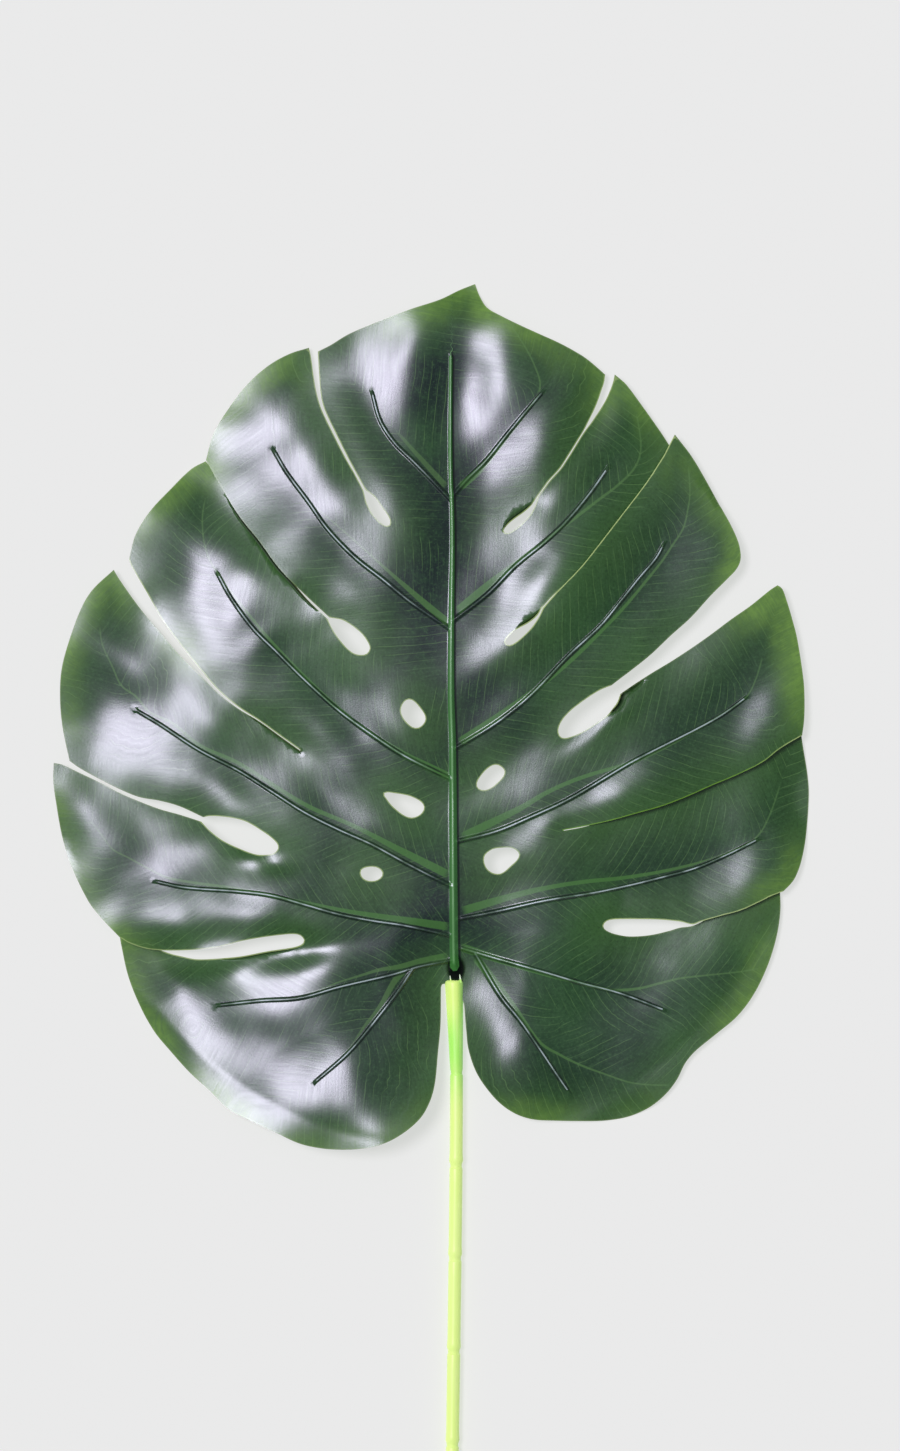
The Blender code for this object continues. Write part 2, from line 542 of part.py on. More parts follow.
def sheet_plan(ribs):
    """Triangulate the flat cut sheet: edge loops, rib crests and feet, and a grid between."""
    loops = [outline_points()]
    for points in INNER_HOLES.values():
        ring = smooth_line(plan(points), closed=True)
        loops.append(thin(ring + ring[:1], EDGE_STEP, EDGE_SAG)[:-1])
    verts, edges = [], []
    for loop in loops:
        first = len(verts)
        verts += loop
        edges += [(first + i, first + (i + 1) % len(loop)) for i in range(len(loop))]
    rails = []
    for rib in ribs:
        rails += rib_rails(rib)
    for rail in rails:
        first = len(verts)
        verts += rail
        edges += [(first + i, first + i + 1) for i in range(len(rail) - 1)]

    fixed = as_array(verts)
    low, high = fixed.min(axis=0), fixed.max(axis=0)
    grid = []
    row_step = GRID_STEP * math.sqrt(3.0) / 2.0
    for row in range(int((high[1] - low[1]) / row_step) + 1):
        shift = GRID_STEP / 2.0 * (row % 2)
        for column in range(int((high[0] - low[0]) / GRID_STEP) + 1):
            grid.append((low[0] + shift + column * GRID_STEP, low[1] + row * row_step))
    grid = np.array(grid)
    keep = inside(as_array(loops[0]), grid)
    for chain in loops:
        keep &= nearest_on(chain + chain[:1], grid)[0] > GRID_CLEAR
    for chain in loops[1:]:
        keep &= ~inside(as_array(chain), grid)
    for rail in rails:
        keep &= nearest_on(rail, grid)[0] > GRID_CLEAR
    verts += [Vector(pair) for pair in grid[keep]]

    result = delaunay_2d_cdt(verts, edges, [], 0, TINY)
    flat, faces = as_array(result[0]), as_array(result[2])
    centres = flat[faces].mean(axis=1)
    keep = inside(as_array(loops[0]), centres)
    for chain in loops[1:]:
        keep &= ~inside(as_array(chain), centres)
    return flat, faces[keep]


def rib_rails(rib):
    """A rib's crest line and the two lines of its feet."""
    left, right = [], []
    for i, point in enumerate(rib.stations[:-1]):
        if rib.branches and i == 0:
            continue
        ahead = rib.stations[i + 1] - rib.stations[max(i - 1, 0)]
        normal = Vector((-ahead.y, ahead.x)).normalized()
        half_width = rib.size_at(rib.half_width, i / (len(rib.stations) - 1))
        left.append(point + normal * half_width)
        right.append(point - normal * half_width)
    return [rib.stations, left, right]


def solid(name, verts, faces, look):
    """A mesh object from hand-made faces, with its own material."""
    mesh = bpy.data.meshes.new(name)
    mesh.from_pydata([tuple(vert) for vert in verts], [], [tuple(face) for face in faces])
    mesh.validate()
    thing = bpy.data.objects.new(name, mesh)
    bpy.context.scene.collection.objects.link(thing)
    paint(thing, look)
    return thing


def paint(thing, look):
    """Give an object a plain material of its own."""
    colour, roughness, metallic = look
    material = bpy.data.materials.new(thing.name)
    material.use_nodes = True
    shader = material.node_tree.nodes["Principled BSDF"]
    shader.inputs["Base Color"].default_value = colour
    shader.inputs["Roughness"].default_value = roughness
    shader.inputs["Metallic"].default_value = metallic
    material.diffuse_color = colour
    thing.data.materials.clear()
    thing.data.materials.append(material)


def make_blade(ribs):
    """The pressed sheet: one triangulation, used alike on its top and its underside."""
    flat, faces = sheet_plan(ribs)
    top = shape_sheet(flat, ribs)
    under = top - np.array([0.0, 0.0, BLADE_THICKNESS])
    corners = flat[faces]
    first, second = corners[:, 1] - corners[:, 0], corners[:, 2] - corners[:, 0]
    turn = first[:, 0] * second[:, 1] - first[:, 1] * second[:, 0]
    faces = np.where((turn > 0.0)[:, None], faces, faces[:, ::-1])
    count = len(top)
    all_faces = [tuple(face) for face in faces]
    all_faces += [tuple(face[::-1] + count) for face in faces]
    seen = {}
    for a, b, c in faces:
        for edge in ((a, b), (b, c), (c, a)):
            seen[edge] = True
    for a, b in seen:
        if (b, a) not in seen:
            all_faces.append((b, a, a + count))
            all_faces.append((b, a + count, b + count))
    return solid("leaf_blade", np.vstack([top, under]), all_faces, BLADE_LOOK)


def rod(name, path, radii, sides_setting):
    """A round rod along a bent line, capped at both ends and turned to a mesh."""
    curve = bpy.data.curves.new(name, "CURVE")
    curve.dimensions = "3D"
    curve.twist_mode = "Z_UP"
    curve.bevel_depth = 1.0
    curve.bevel_resolution = sides_setting
    curve.use_fill_caps = True
    spline = curve.splines.new("POLY")
    spline.points.add(len(path) - 1)
    for point, position, radius in zip(spline.points, path, radii):
        point.co = (*position, 1.0)
        point.radius = radius
    thing = bpy.data.objects.new(name, curve)
    bpy.context.scene.collection.objects.link(thing)
    bpy.context.view_layer.update()
    graph = bpy.context.evaluated_depsgraph_get()
    mesh = bpy.data.meshes.new_from_object(thing.evaluated_get(graph))
    bpy.data.objects.remove(thing)
    tidy(mesh)
    solid_rod = bpy.data.objects.new(name, mesh)
    bpy.context.scene.collection.objects.link(solid_rod)
    return solid_rod


def rod_path(rib, ribs):
    """The axis and radii of the rod below a ridge, dipped at its root to pass the parent's foot."""
    crest = shape_sheet(as_array(rib.stations), ribs)
    share = np.linspace(0.0, 1.0, len(crest))
    radii = rib.size_at(rib.rod_radius, share)
    depth = BLADE_THICKNESS + rod_depth(
        radii, rib.size_at(rib.height, share), rib.size_at(rib.half_width, share))
    path = np.column_stack([crest[:, :2], crest[:, 2] - depth])
    if rib.branches:
        foot = shape_sheet(as_array(rib.stations[:1]), ribs, ridges=False)[0, 2]
        path[0, 2] = foot - BLADE_THICKNESS - CLEARANCE - radii[0]
        path = np.vstack([(*rib.root, path[0, 2]), path])
        radii = np.concatenate([radii[:1], radii])
    return path, radii


def make_rib_frame(ribs):
    """The moulded frame behind the blade: midrib, side ribs and the plug for the collar."""
    path, radii = rod_path(ribs[0], ribs)
    axis_height = path[0][2]
    plug = [(0.0, JUNCTION_Y - PLUG_LENGTH, axis_height),
            (0.0, path[0][1] - PLUG_SHOULDER, axis_height)]
    path, radii = np.vstack([plug, path]), [PLUG_RADIUS, PLUG_RADIUS, *radii]
    frame = rod("rib_frame", path, radii, MIDRIB_SIDES_SETTING)
    side_ribs = bpy.data.collections.new("side_ribs")
    bpy.context.scene.collection.children.link(side_ribs)
    for rib in ribs[1:]:
        side = rod("side_rib", *rod_path(rib, ribs), SIDE_RIB_SIDES_SETTING)
        bpy.context.scene.collection.objects.unlink(side)
        side_ribs.objects.link(side)
    join = frame.modifiers.new("join", "BOOLEAN")
    join.operation = "UNION"
    join.operand_type = "COLLECTION"
    join.collection = side_ribs
    join.solver = "EXACT"
    settle(frame)
    for side in list(side_ribs.objects):
        bpy.data.objects.remove(side)
    bpy.data.collections.remove(side_ribs)
    tidy(frame.data)
    paint(frame, FRAME_LOOK)
    return frame


def tidy(mesh):
    """Weld a mesh's seam, drop what has no area and turn its faces outwards."""
    weld = bmesh.new()
    weld.from_mesh(mesh)
    bmesh.ops.remove_doubles(weld, verts=weld.verts, dist=WELD)
    bmesh.ops.dissolve_degenerate(weld, edges=weld.edges, dist=WELD / 2.0)
    bmesh.ops.recalc_face_normals(weld, faces=weld.faces)
    weld.to_mesh(mesh)
    weld.free()


def settle(thing):
    """Turn an object's modifiers into its mesh."""
    bpy.context.view_layer.update()
    graph = bpy.context.evaluated_depsgraph_get()
    mesh = bpy.data.meshes.new_from_object(thing.evaluated_get(graph))
    thing.modifiers.clear()
    thing.data = mesh


def turned(name, profile, sides, look):
    """A solid of revolution about Y from a closed profile of (radius, distance down) pairs."""
    mesh = bpy.data.meshes.new(name)
    verts = [(radius, -down, 0.0) for radius, down in profile]
    closing = [] if profile[0][0] == 0.0 else [(len(verts) - 1, 0)]
    mesh.from_pydata(verts, [(i, i + 1) for i in range(len(verts) - 1)] + closing, [])
    thing = bpy.data.objects.new(name, mesh)
    bpy.context.scene.collection.objects.link(thing)
    screw = thing.modifiers.new("turn", "SCREW")
    screw.axis = "Y"
    screw.steps = sides
    screw.render_steps = sides
    settle(thing)
    tidy(thing.data)
    paint(thing, look)
    return thing


def stem_profile():
    """The stem's section: down the outside joint by joint, across its cut end, up the bores."""
    bore = PLUG_RADIUS + CLEARANCE
    core = WIRE_RADIUS + CLEARANCE
    outside = [
        (COLLAR_RADIUS, 0.0), (COLLAR_RADIUS, COLLAR_RIM), (COLLAR_END_RADIUS, COLLAR_LENGTH)]
    top = COLLAR_LENGTH
    for _ in range(JOINT_COUNT):
        outside.append((GROOVE_RADIUS, top + GROOVE_LENGTH / 3.0))
        outside.append((GROOVE_RADIUS, top + GROOVE_LENGTH))
        outside.append((JOINT_TOP_RADIUS, top + 2.0 * GROOVE_LENGTH))
        outside.append((JOINT_TOP_RADIUS, top + JOINT_LENGTH - JOINT_FLARE_LENGTH))
        outside.append((JOINT_FLARE_RADIUS, top + JOINT_LENGTH))
        top += JOINT_LENGTH
    inside_wall = [(core, top), (core, SOCKET_DEPTH), (bore, SOCKET_DEPTH), (bore, 0.0)]
    return outside + inside_wall, top


def make_stem():
    """Collar and joints in one moulding round its wire core."""
    profile, length = stem_profile()
    stem = turned("stem", profile, STEM_SIDES, STEM_LOOK)
    wire_profile = [
        (0.0, SOCKET_DEPTH), (WIRE_RADIUS, SOCKET_DEPTH), (WIRE_RADIUS, length), (0.0, length)]
    wire = turned("stem_wire", wire_profile, WIRE_SIDES, WIRE_LOOK)
    lay_down([stem, wire], length)
    return stem, wire


def lay_down(pieces, length):
    """Lie the stem on a flat of its collar rim and of its last joint, a little down from the rim."""
    to_flat = math.cos(math.pi / STEM_SIDES)
    rim_height, end_height = COLLAR_RADIUS * to_flat, JOINT_FLARE_RADIUS * to_flat
    slope = math.asin((rim_height - end_height) / (length - COLLAR_RIM))
    for piece in pieces:
        piece.rotation_mode = "YXZ"
        piece.rotation_euler = (slope, math.pi / STEM_SIDES, 0.0)
        piece.location = (0.0, COLLAR_RIM / 2.0, rim_height + COLLAR_RIM * math.sin(slope))


def clear_scene():
    for thing in list(bpy.data.objects):
        bpy.data.objects.remove(thing)


def carry(pieces):
    """Hang the pieces on a parent that centres the leaf over the origin, in one collection."""
    bpy.context.view_layer.update()
    corners = np.array([
        piece.matrix_world @ Vector(corner) for piece in pieces for corner in piece.bound_box])
    middle = (corners.min(axis=0) + corners.max(axis=0)) / 2.0
    leaf = bpy.data.collections.new("monstera_leaf")
    bpy.context.scene.collection.children.link(leaf)
    junction = bpy.data.objects.new("junction", None)
    junction.location = (-middle[0], -middle[1], 0.0)
    leaf.objects.link(junction)
    for piece in pieces:
        bpy.context.scene.collection.objects.unlink(piece)
        leaf.objects.link(piece)
        piece.parent = junction


def main():
    clear_scene()
    ribs = rib_lines()
    blade = make_blade(ribs)
    frame = make_rib_frame(ribs)
    stem, wire = make_stem()
    carry([blade, frame, stem, wire])


main()
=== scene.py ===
"""The looks of an artificial monstera leaf that lies face up on a pale table.

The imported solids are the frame. Each section below dresses one piece of the leaf as it is put
together: the printed and pressed blade, the moulded ribs behind it, the stem, its wire, and then
the floor, the light and the camera. Lines on the blade are in millimetres from its junction with
the stem, x to the right and y towards the tip.
"""
import math

import bmesh
import bpy
import numpy as np
from mathutils import Matrix, Vector, noise
from mathutils.geometry import delaunay_2d_cdt, interpolate_bezier
from mathutils.kdtree import KDTree


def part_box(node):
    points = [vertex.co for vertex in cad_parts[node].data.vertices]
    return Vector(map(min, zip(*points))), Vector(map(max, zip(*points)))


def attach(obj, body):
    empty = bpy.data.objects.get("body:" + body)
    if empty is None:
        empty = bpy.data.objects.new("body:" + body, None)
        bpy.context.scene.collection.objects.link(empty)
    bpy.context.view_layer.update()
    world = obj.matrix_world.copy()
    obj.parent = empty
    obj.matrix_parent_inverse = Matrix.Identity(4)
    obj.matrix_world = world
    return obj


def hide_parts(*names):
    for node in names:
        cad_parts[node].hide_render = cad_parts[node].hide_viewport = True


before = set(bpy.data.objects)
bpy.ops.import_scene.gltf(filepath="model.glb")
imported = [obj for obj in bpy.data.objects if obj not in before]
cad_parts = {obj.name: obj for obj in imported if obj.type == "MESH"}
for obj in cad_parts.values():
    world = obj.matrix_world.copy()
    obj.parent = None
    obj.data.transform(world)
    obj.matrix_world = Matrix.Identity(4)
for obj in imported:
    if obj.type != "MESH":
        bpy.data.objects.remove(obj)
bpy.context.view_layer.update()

# The blade
# One sheet of plastic-coated cloth, printed on its face, die-cut round its lobes and holes, and
# heat-pressed over the rib moulding, so that each rib stands up as a thin ridge. Neighbouring
# lobes lie over or under each other along their splits.
MM = 0.001
TINY = 1e-7
BLADE_THICKNESS = 0.0008
DOME_HEIGHT = 0.0115
DOME_CENTRE = (-0.008, 0.110)
DOME_HALF_WIDTH = 0.156
DOME_HALF_LENGTH = 0.176
HOVER = 0.0015
TABLE_SOFTNESS = 0.0003
CRINKLE_HEIGHT = 0.00016
CRINKLE_SIZE = 0.012
PILLOW_HEIGHT = 0.0004
PILLOW_FADE = 0.018
JUNCTION_FLAT = 0.004
JUNCTION_BLEND = 0.030
JUNCTION_LEVEL = 0.0046
JUNCTION_ABOVE_COLLAR = 0.0008
MIDRIB_HEIGHT = (0.0012, 0.0009)
MIDRIB_HALF_WIDTH = (0.0020, 0.0009)
SIDE_RIB_HEIGHT = (0.0009, 0.0007)
SIDE_RIB_HALF_WIDTH = (0.0012, 0.0008)
SPLIT_REACH = 0.013
SPLIT_RUN_IN = 0.30
SLIDE_RUN_IN = 0.20
EDGE_STEP = 0.0012
RIB_STEP = 0.0012
GRID_STEP = 0.0017
GRID_CLEAR = 0.0008
RAIL_OFFSETS = (0.0, 0.25, 0.5, 0.75, 1.0, 1.3)
RAIL_GAP = 0.00012
MEASURE_STEP = 0.0012
BLOCK = 4000
PALE_ELSEWHERE = 0.15
BLUSH_SPREAD = 1.5
LIP_ROWS = (0.2, 0.4, 0.6, 0.8, 1.0)
LIP_STEP = 0.0008
LIP_SHOULDER = 0.25
CURVE_STEP = 0.4 * MM
SPLIT_MIDDLE_STEP = 4.0 * MM
EDGE_MARK_STEP = 0.25 * MM
VEIN_STEP = 2.0 * MM
VEIN_OVERRUN = 40.0 * MM

# The cut outline, stretch by stretch anticlockwise from the tip
OUTLINE = {
    "tip left margin": [
        (7.6, 277.6), (1.6, 275.2), (-6.4, 271.2), (-18.4, 267.2), (-28.4, 263.4),
        (-42.4, 257.6), (-50.4, 252.8), (-55.2, 250.4)],
    "split A tip side": [
        (-55.2, 250.4), (-54.7, 241.2), (-54.0, 233.2), (-52.5, 227.2), (-47.5, 216.6),
        (-43.0, 207.6), (-40.0, 202.0), (-36.0, 194.8)],
    "hole A": [
        (-36.0, 194.8), (-32.4, 192.0), (-29.6, 188.0), (-26.8, 184.0), (-26.2, 181.2),
        (-27.6, 180.4), (-30.0, 181.6), (-33.6, 185.6), (-35.6, 189.6), (-36.9, 194.6)],
    "split A lower side": [
        (-36.9, 194.6), (-40.7, 201.8), (-43.8, 207.2), (-48.4, 216.2), (-53.6, 227.0),
        (-55.6, 233.4), (-56.9, 240.4), (-58.0, 248.4), (-58.8, 252.0)],
    "left lobe 2 margin": [
        (-58.8, 252.0), (-66.4, 249.6), (-74.4, 245.2), (-82.4, 238.4), (-89.6, 229.6),
        (-96.8, 218.0), (-100.0, 207.2)],
    "split B upper side": [
        (-100.0, 207.2), (-94.4, 197.2), (-86.4, 184.4), (-78.4, 174.4), (-70.8, 164.0),
        (-63.2, 156.0), (-50.4, 144.0)],
    "hole B": [
        (-50.4, 144.0), (-44.8, 142.8), (-38.0, 138.0), (-34.8, 133.6), (-34.4, 131.2),
        (-36.4, 129.2), (-41.2, 130.0), (-46.4, 135.2), (-49.8, 140.4), (-51.1, 143.3)],
    "split B lower side": [
        (-51.1, 143.3), (-57.4, 149.3), (-63.6, 155.7), (-71.1, 163.7), (-78.75, 174.1),
        (-86.75, 184.1), (-94.75, 196.9), (-98.6, 203.6), (-100.8, 206.2)],
    "left lobe 3 margin": [
        (-100.8, 206.2), (-106.4, 203.2), (-114.4, 195.2), (-122.4, 186.4), (-128.0, 177.2),
        (-130.6, 167.2)],
    "split C upper side": [
        (-130.6, 167.2), (-129.2, 164.0), (-123.6, 154.4), (-117.2, 143.2), (-110.4, 134.0),
        (-102.4, 124.0), (-94.4, 114.8), (-86.4, 108.2), (-78.4, 103.0), (-70.4, 97.2),
        (-62.0, 91.2)],
    "split C root": [(-62.0, 91.2), (-62.2, 90.95)],
    "split C lower side": [
        (-62.2, 90.95), (-70.5, 96.9), (-78.5, 102.65), (-86.6, 107.5), (-94.4, 113.4),
        (-102.4, 121.4), (-110.4, 129.2), (-118.4, 138.4), (-126.4, 148.0), (-134.4, 159.2),
        (-136.8, 163.2)],
    "left lobe 4 margin": [
        (-136.8, 163.2), (-145.2, 155.2), (-149.6, 148.0), (-154.4, 135.2), (-157.6, 123.2),
        (-158.2, 111.2), (-157.2, 100.0), (-154.4, 86.8)],
    "split D upper side": [
        (-154.4, 86.8), (-150.4, 84.0), (-142.4, 79.6), (-134.4, 75.6), (-126.4, 72.4),
        (-118.4, 71.0), (-110.4, 68.8), (-100.8, 64.4)],
    "hole D": [
        (-100.8, 64.4), (-98.0, 64.9), (-90.8, 64.4), (-84.0, 62.8), (-78.0, 59.4),
        (-72.8, 55.6), (-70.8, 52.6), (-72.4, 50.2), (-76.0, 49.4), (-80.0, 49.6),
        (-86.6, 52.0), (-93.2, 55.2), (-98.4, 59.2), (-101.6, 62.6)],
    "split D lower side": [
        (-101.6, 62.6), (-110.4, 65.4), (-118.4, 67.6), (-126.4, 70.6), (-134.4, 74.0),
        (-142.4, 78.2), (-150.4, 82.0), (-157.6, 85.4), (-160.8, 86.0)],
    "left lobe 5 margin": [
        (-160.8, 86.0), (-161.0, 79.2), (-160.0, 71.2), (-157.6, 57.2), (-154.4, 46.4),
        (-147.2, 31.2), (-142.4, 24.8), (-134.4, 16.4)],
    "split E upper side": [
        (-134.4, 16.4), (-130.4, 14.0), (-122.4, 11.6), (-110.4, 11.2), (-96.0, 12.4),
        (-85.6, 15.0), (-78.0, 16.4), (-70.4, 17.4), (-64.6, 17.8), (-61.8, 17.1),
        (-60.6, 15.4)],
    "split E lower side": [
        (-60.6, 15.4), (-61.0, 14.1), (-62.8, 13.0), (-66.0, 12.2), (-75.2, 10.8),
        (-85.6, 8.8), (-93.6, 8.0), (-104.0, 7.6), (-111.2, 9.0), (-118.4, 10.1),
        (-126.4, 11.3), (-131.2, 13.2), (-134.6, 15.0)],
    "left lobe 6 margin": [
        (-134.6, 15.0), (-134.0, 11.2), (-131.2, 0.0), (-126.0, -12.0), (-120.4, -21.6),
        (-114.4, -28.8), (-106.4, -37.6), (-98.4, -44.8), (-90.4, -52.4), (-82.4, -56.4),
        (-70.4, -62.0), (-62.4, -65.6), (-54.4, -67.4), (-46.4, -68.0), (-38.4, -67.6),
        (-30.4, -66.0), (-22.4, -62.2), (-14.4, -55.6), (-10.4, -48.8), (-8.4, -41.6),
        (-7.2, -29.6), (-6.2, -18.8), (-6.0, -4.8), (-5.9, -3.2), (-5.3, -2.2), (-4.4, -2.2),
        (-3.4, -3.4), (-1.2, -5.0), (1.2, -6.4)],
    "right lobe 6 margin": [
        (1.2, -6.4), (3.0, -9.8), (3.6, -14.6), (3.8, -17.6), (4.1, -20.8), (4.9, -28.0),
        (8.0, -37.2), (12.8, -44.6), (18.0, -50.2), (24.0, -54.2), (30.8, -56.4),
        (40.0, -57.0), (49.2, -57.2), (60.0, -57.0), (69.2, -55.4), (77.2, -51.8),
        (83.8, -46.4), (88.4, -40.4), (91.6, -34.0), (95.6, -29.2), (103.6, -22.6),
        (112.4, -15.2), (118.8, -6.8), (124.2, 4.0), (128.2, 15.8), (130.0, 25.2),
        (130.0, 32.9)],
    "split J lower side": [
        (130.0, 32.9), (125.6, 31.5), (121.6, 29.5), (113.6, 25.9), (105.6, 23.6),
        (97.6, 21.3), (94.8, 20.7), (89.6, 20.2), (85.6, 19.0), (77.6, 17.2), (69.2, 16.7),
        (63.4, 17.7), (60.4, 18.9), (59.0, 20.0), (58.8, 21.0)],
    "split J upper side": [
        (58.8, 21.0), (59.3, 22.2), (61.0, 23.3), (65.6, 23.7), (73.6, 23.7), (81.6, 23.5),
        (89.6, 22.7), (94.6, 21.6), (97.6, 22.7), (105.6, 25.0), (113.6, 27.2),
        (121.6, 30.8), (125.6, 32.8), (130.8, 34.8)],
    "right lobe 5 margin": [
        (130.8, 34.8), (133.6, 37.6), (135.6, 40.4), (138.0, 46.8), (140.0, 57.2),
        (141.2, 73.2), (140.8, 81.2), (139.6, 90.0), (138.9, 95.4)],
    "split I lower side": [
        (138.9, 95.4), (133.9, 93.2), (129.2, 90.3), (122.8, 85.4), (112.4, 80.1),
        (102.8, 76.1), (92.4, 71.5), (82.3, 67.7), (72.2, 65.2), (62.2, 62.7), (52.1, 60.6),
        (43.0, 59.05)],
    "split I root": [(43.0, 59.05), (42.8, 59.3)],
    "split I upper side": [
        (42.8, 59.3), (52.0, 61.0), (62.0, 63.2), (72.0, 66.0), (82.0, 68.8), (92.0, 72.6),
        (102.4, 77.2), (112.0, 81.2), (122.4, 86.4), (128.8, 91.4), (133.6, 94.4),
        (138.2, 97.0)],
    "right lobe 4 margin": [
        (138.2, 97.0), (139.0, 103.2), (139.2, 111.2), (138.8, 119.2), (136.4, 135.2),
        (134.4, 143.2), (132.0, 151.2), (130.2, 155.8), (128.4, 157.0)],
    "split H lower side": [
        (128.4, 157.0), (125.6, 155.2), (117.6, 148.8), (109.6, 143.2), (101.6, 137.2),
        (93.6, 131.6), (85.6, 126.4), (77.6, 121.6), (69.6, 116.4), (65.6, 113.6)],
    "hole H": [
        (65.6, 113.6), (64.4, 110.4), (62.4, 107.6), (60.0, 104.8), (53.6, 100.4),
        (49.6, 98.0), (44.8, 96.2), (42.6, 96.0), (41.2, 97.0), (40.8, 99.6), (42.4, 103.2),
        (45.6, 106.8), (49.6, 110.0), (53.6, 112.8), (57.6, 115.2), (62.0, 117.0)],
    "split H upper side": [
        (62.0, 117.0), (65.6, 119.8), (69.6, 122.8), (77.6, 129.2), (85.6, 136.8),
        (93.6, 144.0), (101.6, 152.8), (108.8, 160.0), (111.8, 163.2), (113.4, 166.4),
        (113.6, 169.6), (112.6, 174.4), (109.6, 181.2), (105.6, 188.4), (97.6, 202.8),
        (93.6, 209.2), (89.6, 214.4), (87.4, 217.2)],
    "split G lower side": [
        (87.4, 217.2), (84.8, 212.4), (83.2, 209.2), (80.4, 204.8), (77.6, 200.4),
        (73.6, 194.8), (65.6, 184.4), (57.6, 174.0), (49.6, 164.0), (40.0, 154.0),
        (34.6, 147.8)],
    "hole G": [
        (34.6, 147.8), (33.2, 144.6), (32.0, 142.6), (29.6, 139.4), (26.4, 136.2),
        (23.0, 133.6), (20.6, 132.9), (19.5, 134.2), (20.6, 136.3), (23.8, 139.1),
        (28.6, 141.7), (32.2, 144.6), (34.2, 147.9)],
    "split G upper side": [
        (34.2, 147.9), (39.7, 154.2), (49.2, 164.3), (57.0, 174.5), (65.0, 184.9),
        (73.0, 195.3), (76.9, 201.0), (79.6, 205.4), (82.3, 209.7), (84.0, 213.2)],
    "right lobe 2 margin": [
        (84.0, 213.2), (79.4, 220.8), (73.6, 229.6), (68.0, 237.2), (65.6, 239.4),
        (63.4, 241.2)],
    "split F lower side": [
        (63.4, 241.2), (62.8, 238.4), (61.2, 234.0), (58.8, 229.2), (54.2, 222.2),
        (50.8, 217.6), (45.6, 209.2), (41.6, 203.2), (37.6, 198.8), (32.6, 192.0)],
    "hole F": [
        (32.6, 192.0), (31.8, 189.2), (30.9, 187.2), (28.8, 184.0), (25.6, 180.8),
        (22.4, 178.4), (20.4, 177.6), (19.0, 178.2), (19.2, 179.4), (20.9, 181.4),
        (23.3, 183.4), (27.2, 186.2), (30.0, 188.8), (32.3, 192.2)],
    "split F tip side": [
        (32.3, 192.2), (37.3, 199.0), (41.3, 203.4), (45.2, 209.4), (48.0, 213.9),
        (51.0, 218.8), (53.1, 222.9), (55.3, 227.4), (56.7, 230.8), (58.0, 234.6),
        (59.2, 238.2), (59.6, 241.2)],
    "tip right margin": [
        (59.6, 241.2), (53.6, 246.4), (49.6, 249.2), (41.6, 253.6), (33.6, 257.2),
        (25.6, 260.8), (17.6, 264.8), (12.4, 268.0), (9.6, 272.4), (7.6, 277.6)],
}

# Closed holes beside the midrib
INNER_HOLES = {
    "left upper": [
        (-18.8, 111.4), (-14.0, 107.6), (-12.2, 103.2), (-15.6, 100.0), (-19.8, 102.4),
        (-22.0, 107.4)],
    "left middle": [
        (-28.6, 74.0), (-24.4, 74.0), (-17.2, 72.4), (-12.8, 69.0), (-14.4, 65.4),
        (-18.8, 64.4), (-24.4, 68.0), (-27.8, 72.0)],
    "left lower": [
        (-29.3, 42.3), (-31.0, 44.2), (-34.2, 44.7), (-37.6, 43.6), (-37.9, 41.5),
        (-36.2, 39.5), (-32.8, 39.0), (-30.0, 40.3)],
    "right upper": [
        (16.8, 85.2), (19.4, 82.4), (16.4, 78.0), (11.6, 75.2), (8.4, 76.6), (9.4, 80.2),
        (13.6, 84.6)],
    "right lower": [
        (11.2, 48.4), (12.6, 43.6), (17.2, 41.8), (21.6, 44.8), (25.2, 49.2), (22.8, 52.0),
        (17.6, 52.2), (14.0, 51.4)],
}

